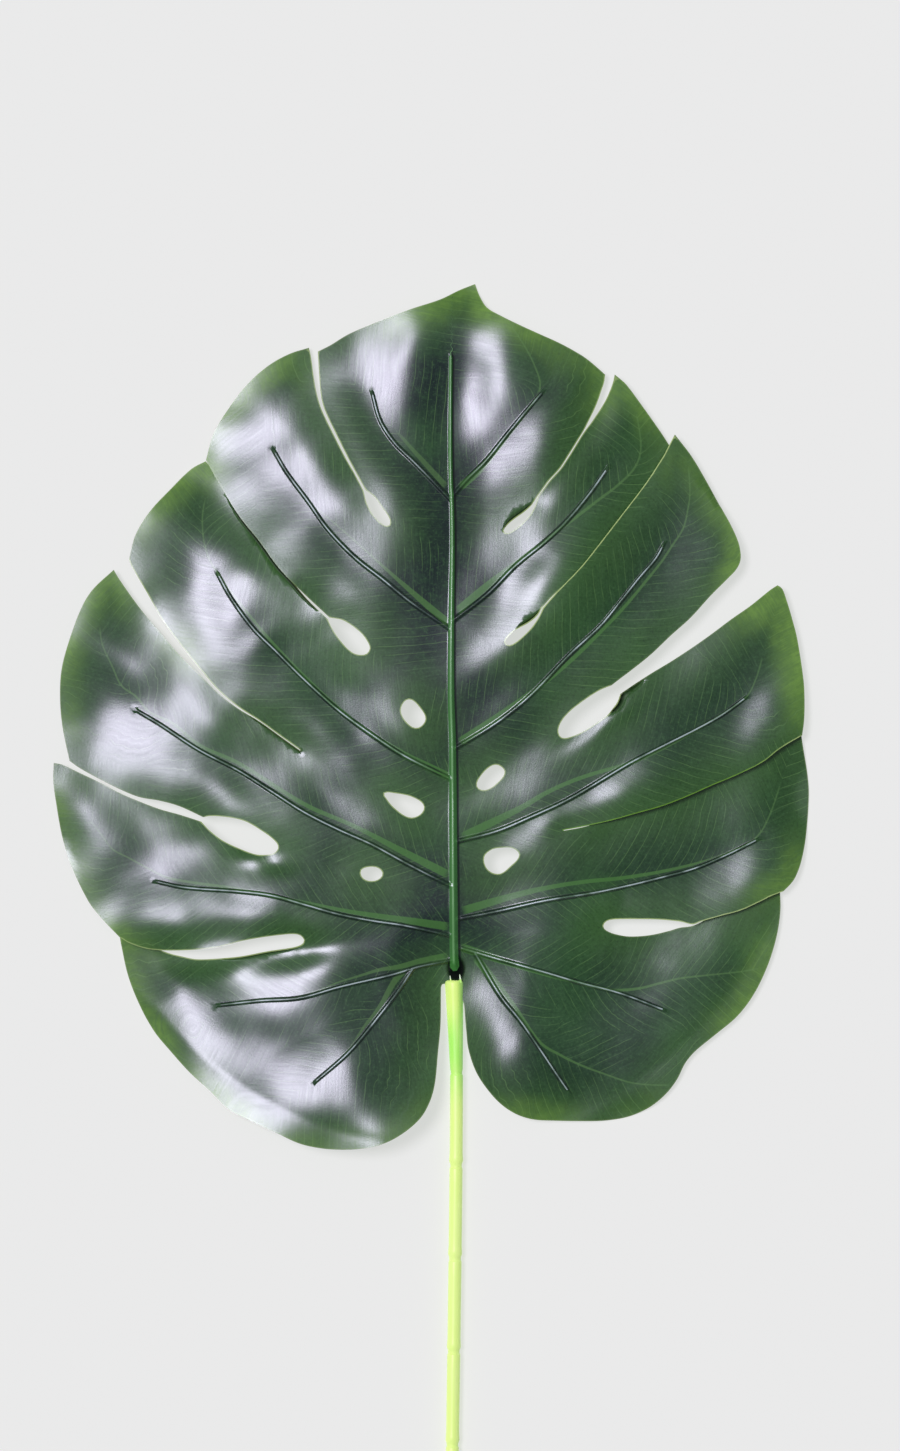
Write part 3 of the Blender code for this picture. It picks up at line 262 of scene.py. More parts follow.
# Rib lines from their root to their blunt end
MIDRIB = [
    (-0.6, 4.6), (-0.8, 16.0), (-1.1, 55.6), (-1.2, 75.2), (-1.4, 95.2), (-1.9, 113.2),
    (-1.8, 142.4), (-1.4, 171.2), (-1.6, 190.0), (-2.0, 198.0), (-2.2, 216.8), (-2.0, 248.0)]
SIDE_RIBS = {
    "left 1": [
        (-1.7, 190.6), (-10.8, 200.0), (-18.4, 207.6), (-24.8, 214.0), (-30.4, 222.8),
        (-33.6, 234.0)],
    "left 2": [
        (-1.8, 139.0), (-18.4, 150.4), (-29.2, 159.2), (-40.4, 168.0), (-51.2, 179.2),
        (-58.8, 190.0), (-67.6, 202.0), (-72.8, 210.8)],
    "left 3": [
        (-1.0, 79.2), (-20.4, 88.8), (-33.6, 97.4), (-47.0, 107.2), (-60.4, 119.2),
        (-72.0, 130.8), (-80.8, 139.6), (-89.6, 151.6), (-95.2, 161.6)],
    "left 4": [
        (-0.2, 36.2), (-10.0, 41.0), (-20.4, 46.4), (-33.6, 53.6), (-47.0, 59.6),
        (-60.4, 66.4), (-73.6, 74.8), (-86.4, 82.8), (-102.4, 91.2), (-118.4, 101.6),
        (-127.2, 106.8)],
    "left 5": [
        (0.0, 16.6), (-20.4, 21.2), (-33.6, 23.2), (-47.0, 25.8), (-60.4, 29.6),
        (-73.6, 33.2), (-86.8, 34.8), (-108.4, 36.4), (-120.0, 38.8)],
    "left 6": [
        (0.0, 7.4), (-14.4, 4.8), (-25.6, 1.6), (-46.4, -3.2), (-62.4, -7.6), (-78.4, -8.8),
        (-95.2, -10.8)],
    "right 1": [
        (-1.7, 192.0), (4.2, 199.0), (12.0, 206.8), (21.0, 218.0), (27.6, 226.0),
        (34.8, 234.4)],
    "right 2": [
        (-1.8, 142.4), (12.0, 153.0), (23.2, 164.2), (34.4, 173.8), (43.6, 182.8),
        (52.4, 193.4), (60.0, 204.0)],
    "right 3": [
        (-1.2, 91.4), (16.0, 102.0), (29.4, 112.8), (45.6, 129.6), (57.6, 140.8),
        (65.2, 150.0), (72.8, 159.6), (79.6, 167.6), (82.8, 173.2)],
    "right 4": [
        (-0.4, 54.6), (16.0, 58.8), (29.4, 64.4), (45.6, 72.0), (69.2, 86.0), (82.4, 92.8),
        (95.6, 99.4), (106.4, 105.4), (116.0, 112.4)],
    "right 5": [
        (-0.1, 23.6), (16.0, 26.8), (35.6, 31.2), (55.6, 34.4), (69.2, 37.2), (82.4, 40.4),
        (95.6, 44.0), (108.8, 49.6), (120.8, 55.6)],
    "right 6": [
        (0.0, 12.6), (16.0, 8.0), (36.0, 2.4), (49.2, -1.6), (65.6, -6.0), (83.6, -12.8)],
}
BRANCH_RIBS = {
    "left 6": [
        (-17.2, 4.0), (-22.4, -4.0), (-30.4, -14.4), (-42.4, -28.8), (-56.4, -41.2)],
    "right 6": [
        (7.4, 10.4), (17.6, -6.8), (25.6, -16.8), (33.6, -28.4), (41.6, -40.4),
        (45.2, -45.6)],
}

# Each split: its two edges, the one that lies over first, how far in metres the first is
# lifted, the second pressed down and slid beneath, and from which share of its length it slides
SPLITS = {
    "A": ("split A tip side", "split A lower side", 0.0008, 0.0008, 0.0, 0.0),
    "B": ("split B upper side", "split B lower side", 0.0018, 0.0016, 0.0008, 0.1),
    "C": ("split C upper side", "split C lower side", 0.0014, 0.0008, 0.0, 0.0),
    "D": ("split D upper side", "split D lower side", 0.0008, 0.0006, 0.0, 0.0),
    "E": ("split E upper side", "split E lower side", 0.0018, 0.0014, 0.0026, 0.68),
    "F": ("split F lower side", "split F tip side", 0.0006, 0.0012, 0.0, 0.0),
    "G": ("split G lower side", "split G upper side", 0.0020, 0.0014, 0.0026, 0.0),
    "H": ("split H upper side", "split H lower side", 0.0004, 0.0012, 0.0, 0.0),
    "I": ("split I upper side", "split I lower side", 0.0020, 0.0014, 0.0026, 0.0),
    "J": ("split J upper side", "split J lower side", 0.0018, 0.0014, 0.0026, 0.45),
}

# Places where the margin droops onto the table: centre, radius and depth in millimetres
TOUCH_POINTS = [
    ((-160.0, 58.0), 16.0, 5.0), ((142.0, 72.0), 16.0, 5.0), ((8.0, 279.0), 15.0, 5.0),
    ((-48.0, -66.0), 18.0, 5.0), ((68.0, -59.0), 13.0, 4.0)]

# Shallow waves that tip the sheet to the light: centre, reach along and across its own line in
# millimetres, the turn of that line in degrees and the steepness of the tip
LIGHT_SIDE = (-0.89, 0.45)
ACROSS_LIGHT = (0.45, 0.89)
TILTS = {
    "tip, left haze": (-42.4, 221.2, 48.0, 24.0, 78, 0.07),
    "tip, valley left of the midrib": (-9.6, 227.2, 44.0, 10.4, 88, -0.03),
    "tip, right of the midrib": (6.4, 231.2, 52.0, 20.0, 88, 0.11),
    "tip, under the right rib": (26.4, 212.8, 24.0, 15.2, 52, 0.26),
    "tip, soft spot": (34.0, 208.4, 13.6, 10.4, 60, 0.15),
    "right 2, below its rib": (36.8, 174.0, 42.0, 23.2, 45, 0.29),
    "tip, above the right hole": (18.4, 174.4, 33.6, 20.0, 62, 0.31),
    "right 2, low": (21.6, 141.2, 18.4, 12.0, 55, 0.12),
    "right 2, by the margin": (59.2, 221.2, 13.6, 8.0, 60, 0.14),
    "right 3, near the midrib": (17.6, 133.2, 20.0, 11.2, 40, 0.1),
    "right 3, haze": (93.6, 169.2, 48.0, 33.6, 58, 0.19),
    "right 4, along its rib": (20.0, 109.6, 24.0, 12.0, 38, 0.15),
    "right 4, below its rib": (31.2, 84.0, 33.6, 19.2, 22, 0.27),
    "right 4, farther out": (66.4, 83.2, 30.0, 16.0, 20, 0.24),
    "right 4, haze": (95.6, 125.2, 24.0, 18.4, 60, 0.12),
    "right 5, haze": (114.4, 50.4, 32.0, 22.4, 70, 0.18),
    "right 5, by the hole": (25.6, 53.2, 20.0, 11.2, 10, 0.14),
    "right 6, haze": (81.6, -2.8, 36.0, 28.0, 60, 0.16),
    "right 6, below its branch": (20.8, -25.6, 19.2, 10.4, -55, 0.24),
    "right 6, low": (56.4, -50.0, 17.6, 10.4, 20, 0.22),
    "left 2, patch": (-65.6, 203.2, 60.0, 40.0, -40, 0.21),
    "left 2, streak": (-62.4, 219.2, 32.0, 10.4, 20, 0.05),
    "left 2, dark corner": (-68.4, 241.2, 32.0, 16.0, 25, -0.14),
    "left 3, at its rib's end": (-96.0, 148.8, 18.0, 11.2, -40, 0.12),
    "left 3, middle": (-110.4, 149.6, 20.0, 13.6, 30, 0.13),
    "left 3, along the split above": (-79.2, 164.8, 28.0, 10.4, -48, 0.09),
    "left 3, low spot": (-81.6, 134.4, 10.4, 6.4, 30, 0.08),
    "left 3, dark by the split below": (-102.4, 129.2, 24.0, 12.8, -48, -0.08),
    "left 3, above its rib": (-33.6, 104.8, 30.0, 12.8, -38, 0.12),
    "left 3, dark below its rib": (-50.4, 111.2, 36.0, 9.6, -45, -0.06),
    "left 3, dark corner": (-119.2, 173.2, 24.0, 20.0, 40, -0.08),
    "left 4, upper patch": (-116.0, 124.0, 26.4, 17.6, -60, -0.07),
    "left 4, dark": (-122.4, 118.4, 22.0, 10.4, -35, -0.12),
    "left 4, patch": (-105.6, 110.4, 20.0, 12.0, -50, 0.02),
    "left 4, dark margin": (-148.4, 115.2, 40.0, 17.6, 85, -0.1),
    "left 4, dark middle": (-84.8, 99.2, 28.0, 16.0, -32, -0.13),
    "left 4, below its rib": (-75.2, 78.4, 24.0, 12.0, -32, 0.07),
    "left 4, near the midrib": (-39.2, 66.4, 20.0, 8.8, -30, 0.12),
    "left 5, patch": (-116.8, 50.4, 18.0, 12.8, -20, 0.04),
    "left 5, middle": (-82.4, 26.4, 16.0, 12.8, 10, 0.1),
    "left 5, dark": (-100.4, 37.2, 24.0, 12.0, -10, -0.06),
    "left 5, dark margin": (-152.8, 46.4, 29.6, 24.8, -50, -0.17),
    "right 4, glint by its hole": (57.6, 102.4, 12.0, 3.6, 32, 0.26),
    "left 5, glint below its hole": (-76.8, 46.8, 8.0, 3.2, -10, 0.22),
    "left 6, streak": (-98.4, -5.6, 33.6, 14.4, -10, 0.24),
    "left 6, by the split": (-59.2, 6.4, 17.6, 12.0, -25, 0.18),
    "left 6, dark under the split": (-82.4, 8.8, 28.0, 5.6, 8, -0.16),
    "left 6, cloud": (-80.4, -34.8, 48.0, 32.0, -35, 0.16),
    "left 6, low cloud": (-50.4, -54.4, 44.0, 22.4, -20, 0.28),
    "left 6, by the sinus": (-20.4, -50.8, 17.6, 14.4, -50, 0.2),
    "left 6, dark by the sinus": (-16.8, -28.0, 25.6, 13.6, 80, -0.14),
    "tip, left of the midrib": (-21.6, 250.4, 32.0, 18.4, 80, 0.13),
    "right 2, around the upper hole": (22.4, 172.0, 24.0, 20.0, 45, 0.16),
    "right 2, under the upper hole": (29.6, 155.2, 22.4, 13.6, 50, 0.16),
    "left 2, upper end": (-89.6, 210.4, 16.0, 13.6, -40, 0.1),
    "left 2, dark inner side": (-43.2, 187.2, 24.0, 14.4, -45, -0.14),
    "left 3, upper end": (-125.6, 162.4, 20.0, 13.6, -60, 0.12),
    "midrib, dark left side": (-7.2, 135.2, 44.0, 13.6, 88, -0.06),
    "left 5, by its rib": (-99.2, 30.4, 13.6, 8.8, -10, 0.08),
    "left 6, left end": (-113.6, -5.6, 28.0, 20.0, 60, 0.1),
    "left 6, dark middle": (-35.2, -25.6, 24.0, 14.4, -60, -0.05),
    "right 4, outer end": (118.4, 108.8, 31.2, 21.6, 65, 0.22),
    "right 5, under its root": (24.0, 34.4, 20.0, 12.0, 10, 0.15),
    "left 5, dark inside the margin": (-133.6, 37.6, 22.4, 16.0, -50, -0.1),
    "left 6, lower left": (-97.6, -26.8, 24.0, 18.4, -30, 0.17),
    "left 6, dark upper middle": (-52.4, -8.8, 20.0, 14.4, -30, -0.09),
    "right 3, middle": (72.8, 177.2, 40.0, 20.0, 55, 0.16),
    "left 6, low middle": (-44.4, -41.6, 20.0, 12.0, -40, 0.08),
    "left 5, dark corner": (-144.8, 68.8, 20.0, 14.4, -25, -0.12),
    "tip, beside the midrib": (8.0, 203.2, 72.0, 17.6, 88, 0.19),
    "left 2, dark lower inner side": (-53.6, 178.4, 20.0, 13.6, -50, -0.15),
    "left 3, dark under the split above": (-70.4, 146.4, 20.0, 13.6, -45, -0.1),
    "left 3, small patch": (-96.8, 138.4, 20.0, 13.6, -40, 0.14),
    "left 4, dark upper margin": (-146.4, 132.0, 30.4, 24.0, 70, -0.13),
    "left 5, dark upper side": (-126.4, 54.0, 36.0, 13.6, -12, -0.16),
    "left 6, dark toward the sinus": (-28.4, -21.6, 24.0, 16.0, -60, -0.09),
    "right 2, right of the upper hole": (41.6, 164.8, 28.0, 20.0, 50, 0.3),
    "right 3, beside the midrib": (16.8, 111.2, 16.0, 10.4, 50, 0.1),
    "left 6, cloud middle": (-77.6, -31.2, 44.0, 32.0, -35, 0.17),
    "left 5, dark by the split": (-103.2, 18.4, 16.0, 7.2, -5, -0.1),
    "tip, end haze": (-8.0, 256.0, 38.4, 26.4, 80, 0.15),
    "right 6, haze by its root": (31.2, 18.4, 28.0, 20.0, 60, 0.14),
}

# Waves of the same kind that roll it across the light
ROLLS = {
    "left 6, middle": (-76.4, -26.8, 52.0, 36.0, -35, 0.17),
    "left 6, low": (-50.4, -50.8, 32.0, 20.0, -20, 0.05),
    "tip, under the right rib": (22.4, 212.0, 24.0, 20.0, 52, -0.13),
    "right 2, below its rib": (29.6, 161.2, 28.0, 21.6, 45, -0.08),
    "left 4, by its rib": (-78.4, 75.2, 24.0, 16.0, -30, 0.06),
    "tip, left": (-39.2, 229.2, 30.4, 28.0, 80, -0.18),
    "left 2, patch": (-73.6, 204.0, 40.0, 24.8, -38, -0.15),
    "left 3, at its rib's end": (-113.6, 149.6, 17.6, 14.4, -50, -0.14),
    "left 3, along the split above": (-84.4, 157.2, 28.0, 16.8, -45, -0.13),
    "left 6, upper cloud": (-88.0, -15.2, 24.0, 18.4, -10, 0.13),
    "left 6, by the sinus": (-20.0, -48.0, 20.8, 17.6, -50, -0.17),
    "left 5, patch": (-116.4, 47.2, 24.0, 20.0, -20, 0.12),
    "tip, left of the midrib": (-24.0, 237.2, 36.0, 24.0, 80, -0.14),
    "left 2, inner end": (-52.4, 213.2, 20.0, 13.6, -60, -0.15),
    "left 6, lower left": (-97.6, -26.8, 21.6, 16.8, -20, 0.12),
    "tip, right of the midrib": (7.2, 250.4, 28.0, 17.6, 88, -0.15),
    "left 3, end of the split above": (-62.4, 168.8, 20.0, 13.6, -48, -0.05),
    "left 6, low middle": (-42.4, -40.8, 20.0, 14.4, -40, -0.08),
    "left 2, lower inner end": (-57.6, 200.0, 20.0, 14.4, -50, -0.14),
    "tip, end": (-7.2, 253.2, 36.0, 26.4, 80, -0.14),
}

# Broad swells: centre, reach along and across, turn, and height in millimetres
SWELLS = {
    "left 6, sinus side": (-32.4, -74.8, 60.0, 48.0, -25, 8.5),
    "left 6, left end": (-118.4, -12.8, 76.0, 52.0, 60, 6.5),
}

# Margins that turn sharply down, with deep shade painted on them: the stretch of their line from
# one share of its length to another, the width and depth in millimetres, and how dark the painted
# shade is
LIPS = {
    "split B lower side": (0.06, 0.80, 1.7, 1.8, 1.0),
    "hole F": (0.55, 0.93, 2.0, 1.5, 0.7),
    "hole G": (0.70, 0.97, 1.8, 1.5, 0.85),
    "hole H": (0.00, 0.13, 3.0, 2.2, 1.0),
    "split H lower side": (0.86, 1.00, 2.6, 1.6, 0.7),
    "split E lower side": (0.02, 0.45, 1.6, 1.2, 0.8),
    "split C lower side": (0.00, 0.24, 0.9, 0.8, 0.8),
}

# Spots of yellow-green along the rim: centre and radius in millimetres, strength
BLUSHES = [
    (-92, 229, 14, 0.8), (-78, 244, 12, 0.8), (-100, 209, 9, 0.7), (-122, 187, 10, 0.8),
    (-108, 200, 9, 0.7), (-142, 155, 10, 0.9), (-155, 131, 10, 0.8), (-152, 103, 8, 0.5),
    (106, 183, 12, 0.6), (112, 167, 8, 0.7), (128, 151, 14, 0.9), (136, 131, 12, 0.8),
    (136, 111, 10, 0.6), (128, 44, 10, 0.8), (114, 43, 8, 0.4), (113, -13, 12, 0.7),
    (124, 7, 10, 0.5), (28, -51, 9, 0.6), (42, -55, 8, 0.4), (74, -51, 10, 0.4),
    (-130, -1, 10, 0.6), (-122, -25, 10, 0.8), (-88, -53, 11, 0.8), (-100, -43, 9, 0.6),
    (-62, -63, 12, 0.4), (-34, -65, 12, 0.4), (-158, 71, 8, 0.6), (-152, 43, 10, 0.6),
    (-138, 19, 9, 0.7), (-22, 260, 13, 0.5), (-4, 266, 16, 0.7), (12, 271, 9, 0.5),
    (30, 256, 15, 0.6), (58, 242, 10, 0.4), (74, 227, 10, 0.5), (-106, 129, 10, 0.5),
    (-10, -57, 10, 0.4), (90, 203, 8, 0.4), (66, 231, 10, 0.4), (-116, 135, 9, 0.3)]

# How brightly the bare cut edge shows along a stretch of the outline
PALE_EDGES = {
    "split G upper side": 0.3, "split G lower side": 0.9, "hole G": 0.8,
    "split I lower side": 0.2, "split I upper side": 0.8,
    "split J upper side": 0.7, "split E upper side": 0.5, "split E lower side": 0.6,
    "split C upper side": 0.6, "split F lower side": 0.5, "split F tip side": 0.5,
    "split A tip side": 0.6, "split A lower side": 0.5,
    "hole A": 0.6, "hole B": 0.6, "hole D": 0.6, "hole F": 0.6, "hole H": 0.6,
    "left upper": 0.6, "left middle": 0.6, "left lower": 0.6, "right upper": 0.6,
    "right lower": 0.6}

# The painted shade in the pocket round the midrib's root and the lime stretch of the rim, each in
# the form of a wave's patch
PAINTED_POCKET_PATCH = (0.0, 3.8, 6.4, 4.4, 90)
LIME_STRETCH = (73.0, 73.5, 60, 16, 18)

# The printed veins, each from the midrib to the margin
VEINS = {
    "left 1": [
        (-4.0, 196.4), (-16.0, 209.6), (-23.8, 218.4)],
    "left 2": [
        (-2.8, 141.6), (-12.8, 150.0), (-26.0, 161.6), (-40.4, 174.6), (-56.8, 188.8)],
    "left 3": [
        (-1.6, 80.0), (-10.0, 84.0), (-22.4, 90.4), (-42.4, 104.0), (-62.4, 122.4), (-80.4, 142.4),
        (-97.2, 164.8), (-100.6, 173.6), (-101.6, 184.4), (-100.6, 192.0)],
    "left 4": [
        (-3.2, 41.6), (-20.4, 50.4), (-40.4, 60.8), (-60.4, 69.6), (-86.8, 86.0), (-102.4, 93.2),
        (-113.2, 102.0), (-122.4, 106.4), (-128.0, 112.8), (-133.6, 116.8), (-137.2, 124.4),
        (-141.2, 133.2), (-142.4, 141.2)],
    "left 5": [
        (-3.2, 20.8), (-27.2, 24.4), (-47.0, 27.6), (-86.4, 35.6), (-114.4, 40.0), (-122.4, 43.6),
        (-130.4, 48.0), (-137.2, 51.6), (-142.4, 58.4), (-146.4, 63.2)],
    "left 6": [
        (-3.6, 8.8), (-14.4, 6.8), (-22.4, 4.8), (-30.4, 3.6), (-38.4, 1.2), (-46.4, -1.2),
        (-54.4, -4.4), (-66.4, -8.0)],
    "left 6b": [
        (-20.8, 3.2), (-24.4, -0.8), (-27.2, -5.6), (-29.6, -10.0), (-32.4, -14.0), (-36.4, -18.8),
        (-42.4, -27.6), (-46.4, -31.2)],
    "right 1": [
        (1.6, 196.0), (9.6, 203.2), (19.6, 215.2), (29.6, 228.0), (33.6, 236.0), (31.6, 244.0),
        (27.6, 252.0), (21.6, 261.2)],
    "right 2": [
        (0.4, 146.4), (12.0, 156.4), (23.2, 165.2), (45.6, 183.2), (56.8, 192.4), (63.6, 198.0),
        (70.4, 205.6), (72.8, 213.6), (71.6, 227.2)],
    "right 3": [
        (1.6, 94.4), (17.6, 105.2), (41.6, 123.2), (62.8, 143.6), (70.0, 151.6), (75.6, 158.4),
        (82.0, 166.4), (86.0, 172.4), (90.8, 180.0), (92.8, 188.8), (93.4, 193.6), (92.8, 204.8)],
    "right 4": [
        (2.8, 56.8), (25.6, 68.0), (35.6, 74.0), (45.6, 78.6), (55.4, 82.0), (66.7, 85.2),
        (74.4, 88.0), (90.4, 96.0), (102.4, 103.2), (115.6, 112.0), (119.6, 119.2), (122.4, 128.4)],
    "right 5": [
        (2.8, 27.2), (25.6, 33.8), (38.8, 36.8), (52.0, 38.8), (65.4, 40.0), (78.8, 42.0),
        (92.0, 44.8), (105.2, 48.8), (119.6, 56.0), (124.8, 63.6), (130.2, 76.8)],
    "right 6": [
        (2.0, 12.4), (33.6, 2.4), (43.6, -0.4), (58.0, -4.0), (64.2, -4.8), (73.4, -4.0),
        (82.0, -1.8), (89.6, 0.0), (100.0, 1.2), (112.8, 2.4), (122.4, 4.0)],
    "right 6b": [
        (8.0, 8.0), (22.8, -10.8), (33.6, -25.6), (41.2, -30.4), (50.0, -34.8), (60.8, -38.8),
        (69.2, -41.6), (76.8, -42.6), (86.4, -42.8)],
}


def smooth(points, closed=False):
    """A dense line in metres through traced points, rounded at each but not at open ends."""
    points = [Vector((x * MM, y * MM)) for x, y in points]
    count = len(points)
    spans = count if closed else count - 1

    def slope(i):
        before = points[(i - 1) % count] if closed else points[max(i - 1, 0)]
        after = points[(i + 1) % count] if closed else points[min(i + 1, count - 1)]
        return (after - before).normalized()

    line = []
    for i in range(spans):
        start, end = points[i], points[(i + 1) % count]
        third = (end - start).length / 3.0
        pieces = max(3, int((end - start).length / CURVE_STEP))
        line += interpolate_bezier(start, start + slope(i) * third,
                                   end - slope((i + 1) % count) * third, end, pieces + 1)[:-1]
    line.append(points[0] if closed else points[-1])
    return np.array([tuple(point[:2]) for point in line])


def evenly(line, step):
    """Points at one even step along a dense line, both ends kept."""
    lengths = np.concatenate([[0.0], np.cumsum(np.linalg.norm(np.diff(line, axis=0), axis=1))])
    marks = np.linspace(0.0, lengths[-1], max(2, round(lengths[-1] / step) + 1))
    return np.column_stack([np.interp(marks, lengths, line[:, i]) for i in (0, 1)])


def beside(line, points):
    """For each point: distance to the line, distance travelled along it, and side (left is +)."""
    start, step = line[:-1], np.diff(line, axis=0)
    square = (step ** 2).sum(axis=1)
    length = np.sqrt(square)
    travelled = np.concatenate([[0.0], np.cumsum(length)[:-1]])
    found = []
    for first in range(0, len(points), BLOCK):
        offset = points[first:first + BLOCK, None] - start[None]
        t = np.clip((offset * step).sum(axis=2) / square, 0.0, 1.0)
        gap = np.linalg.norm(offset - step * t[..., None], axis=2)
        i = gap.argmin(axis=1)
        rows = np.arange(len(i))
        offset = offset[rows, i]
        cross = step[i, 0] * offset[:, 1] - step[i, 1] * offset[:, 0]
        found.append(np.column_stack([
            gap[rows, i], travelled[i] + t[rows, i] * length[i], np.where(cross > 0.0, 1.0, -1.0)]))
    return np.vstack(found).T


def ease(value, low, high):
    """A smooth climb from 0 at low to 1 at high."""
    t = np.clip((value - low) / (high - low), 0.0, 1.0)
    return t * t * (3.0 - 2.0 * t)


def between(pair, share):
    """A size that runs evenly from the first of a pair to the second."""
    return pair[0] + (pair[1] - pair[0]) * share


ribs = {"midrib": (evenly(smooth(MIDRIB), MEASURE_STEP), MIDRIB_HEIGHT, MIDRIB_HALF_WIDTH)}
for name, points in SIDE_RIBS.items():
    ribs[name] = (evenly(smooth(points), MEASURE_STEP), SIDE_RIB_HEIGHT, SIDE_RIB_HALF_WIDTH)
for name, points in BRANCH_RIBS.items():
    ribs["branch " + name] = (
        evenly(smooth(points), MEASURE_STEP), SIDE_RIB_HEIGHT, SIDE_RIB_HALF_WIDTH)


def split_middle(over, under):
    """The middle of a split from its root to its mouth, and the side its upper edge is on."""
    over_line, under_line = smooth(OUTLINE[over]), smooth(OUTLINE[under])
    if np.hypot(*(over_line[0] - DOME_CENTRE)) > np.hypot(*(over_line[-1] - DOME_CENTRE)):
        over_line = over_line[::-1]
    gaps = np.linalg.norm(over_line[:, None] - under_line[None], axis=2)
    middle = evenly((over_line + under_line[gaps.argmin(axis=1)]) / 2.0, SPLIT_MIDDLE_STEP)
    return middle, beside(middle, over_line[len(over_line) // 2][None])[2][0]


def ridge_height(points):
    """How far the pressed ridges raise the sheet at each point."""
    raised = np.zeros(len(points))
    for line, heights, half_widths in ribs.values():
        away, along, _ = beside(line, points)
        share = along / along.max()
        across = np.clip(away / between(half_widths, share), 0.0, 1.0)
        raised = np.maximum(raised, between(heights, share) * (1.0 - across ** 2) ** 2)
    return raised


def lip_share(points, name):
    """How much each point belongs to the turned-down lip along a stretch of the outline."""
    first, last, width, _, _ = LIPS[name]
    away, along, side = beside(evenly(smooth(OUTLINE[name]), MEASURE_STEP / 2.0), points)
    place = (along / along.max() - first) / (last - first)
    taper = np.sqrt(np.clip(1.0 - (2.0 * place - 1.0) ** 2, 0.0, 1.0))
    if first == 0.0 or last == 1.0:
        taper = np.where((place < 0.5) == (first == 0.0), (place >= 0.0) & (place <= 1.0), taper)
    share = 1.0 - ease(away / (width * MM * np.maximum(taper, TINY)), LIP_SHOULDER, 1.0)
    return np.where(((side > 0.0) | (away < TINY)) & (taper > 0.0), share, 0.0)


def press_sheet(points):
    """Where each point of the flat cut sheet ends up, as the face's x, y and z."""
    x, y = points.T
    ring = ((x - DOME_CENTRE[0]) / DOME_HALF_WIDTH) ** 2
    ring = ring + ((y - DOME_CENTRE[1]) / DOME_HALF_LENGTH) ** 2
    z = BLADE_THICKNESS + HOVER + DOME_HEIGHT * np.clip(1.0 - ring, 0.0, 1.0)

    splits = [(split_middle(*row[:2]), row[2:]) for row in SPLITS.values()]
    to_rib = np.min([beside(row[0], points)[0] for name, row in ribs.items() if name != "midrib"],
                    axis=0)
    to_split = np.min([beside(line, points)[0] for (line, _), _ in splits], axis=0)
    to_midrib = beside(ribs["midrib"][0], points)[0]
    share = to_rib / (to_rib + to_split + TINY)
    z = z + PILLOW_HEIGHT * np.sin(math.pi * share) ** 2 * ease(to_midrib, 0.0, PILLOW_FADE)

    moved = points.copy()
    for (line, over_side), (lift, drop, slide, slide_from) in splits:
        away, along, side = beside(line, points)
        along = along / along.max()
        near = np.exp(-(away / SPLIT_REACH) ** 2) * ease(along, 0.0, SPLIT_RUN_IN)
        over = side == over_side
        z = z + np.where(over, lift, -drop) * near
        beneath = slide * near * ease(along, slide_from, slide_from + SLIDE_RUN_IN)
        run = (line[-1] - line[0]) / np.linalg.norm(line[-1] - line[0])
        towards_over = over_side * np.array([-run[1], run[0]])
        moved = moved + np.where(over, 0.0, beneath)[:, None] * towards_over

    for *where, slope in TILTS.values():
        offset, share = patch(points, *where)
        z = z - slope * (offset @ LIGHT_SIDE) * share
    for *where, slope in ROLLS.values():
        offset, share = patch(points, *where)
        z = z - slope * (offset @ ACROSS_LIGHT) * share
    for *where, height in SWELLS.values():
        z = z + height * MM * patch(points, *where)[1]
    crinkle = [noise.noise((px / CRINKLE_SIZE, py / CRINKLE_SIZE, 0.0)) for px, py in points]
    z = z + CRINKLE_HEIGHT * np.array(crinkle)
    for (cx, cy), radius, depth in TOUCH_POINTS:
        away = np.hypot(x - cx * MM, y - cy * MM)
        z = z - depth * MM * np.exp(-(away / (radius * MM)) ** 2)

    for name, (_, _, _, depth, _) in LIPS.items():
        z = z - depth * MM * lip_share(points, name)

    flat = 1.0 - ease(np.hypot(x, y), JUNCTION_FLAT, JUNCTION_BLEND)
    z = z + (JUNCTION_LEVEL - z) * flat
    above = (z - BLADE_THICKNESS) / TABLE_SOFTNESS
    z = BLADE_THICKNESS + TABLE_SOFTNESS * np.logaddexp(0.0, above) + ridge_height(points)
    return np.column_stack([moved, z])


def patch(points, cx, cy, along, across, turn):
    """The points from the middle of a soft oval patch, and how much of it is at each of them."""
    offset = points - np.array([cx, cy]) * MM
    turn = math.radians(turn)
    s = offset @ np.array([math.cos(turn), math.sin(turn)]) / (along * MM)
    t = offset @ np.array([-math.sin(turn), math.cos(turn)]) / (across * MM)
    return offset, np.exp(-s ** 2 - t ** 2)


def inside(polygon, points):
    """Which points lie inside a closed polygon."""
    x, y = points.T
    result = np.zeros(len(points), bool)
    for (ax, ay), (bx, by) in zip(polygon, np.roll(polygon, -1, axis=0)):
        if ay != by:
            reach = ax + (y - ay) * (bx - ax) / (by - ay)
            result ^= ((ay > y) != (by > y)) & (x < reach)
    return result


def rib_rails(line, half_widths):
    """Rows of points along a rib's crest and down both its flanks, clear of the rib's root."""
    stations = evenly(line, RIB_STEP)
    ahead = np.gradient(stations, axis=0)
    normal = np.column_stack([-ahead[:, 1], ahead[:, 0]]) / np.linalg.norm(ahead, axis=1)[:, None]
    width = between(half_widths, np.linspace(0.0, 1.0, len(stations)))[:, None]
    rails = []
    for share in RAIL_OFFSETS:
        for side in (1.0, -1.0) if share else (1.0,):
            rails.append(stations + normal * width * share * side)
    return rails


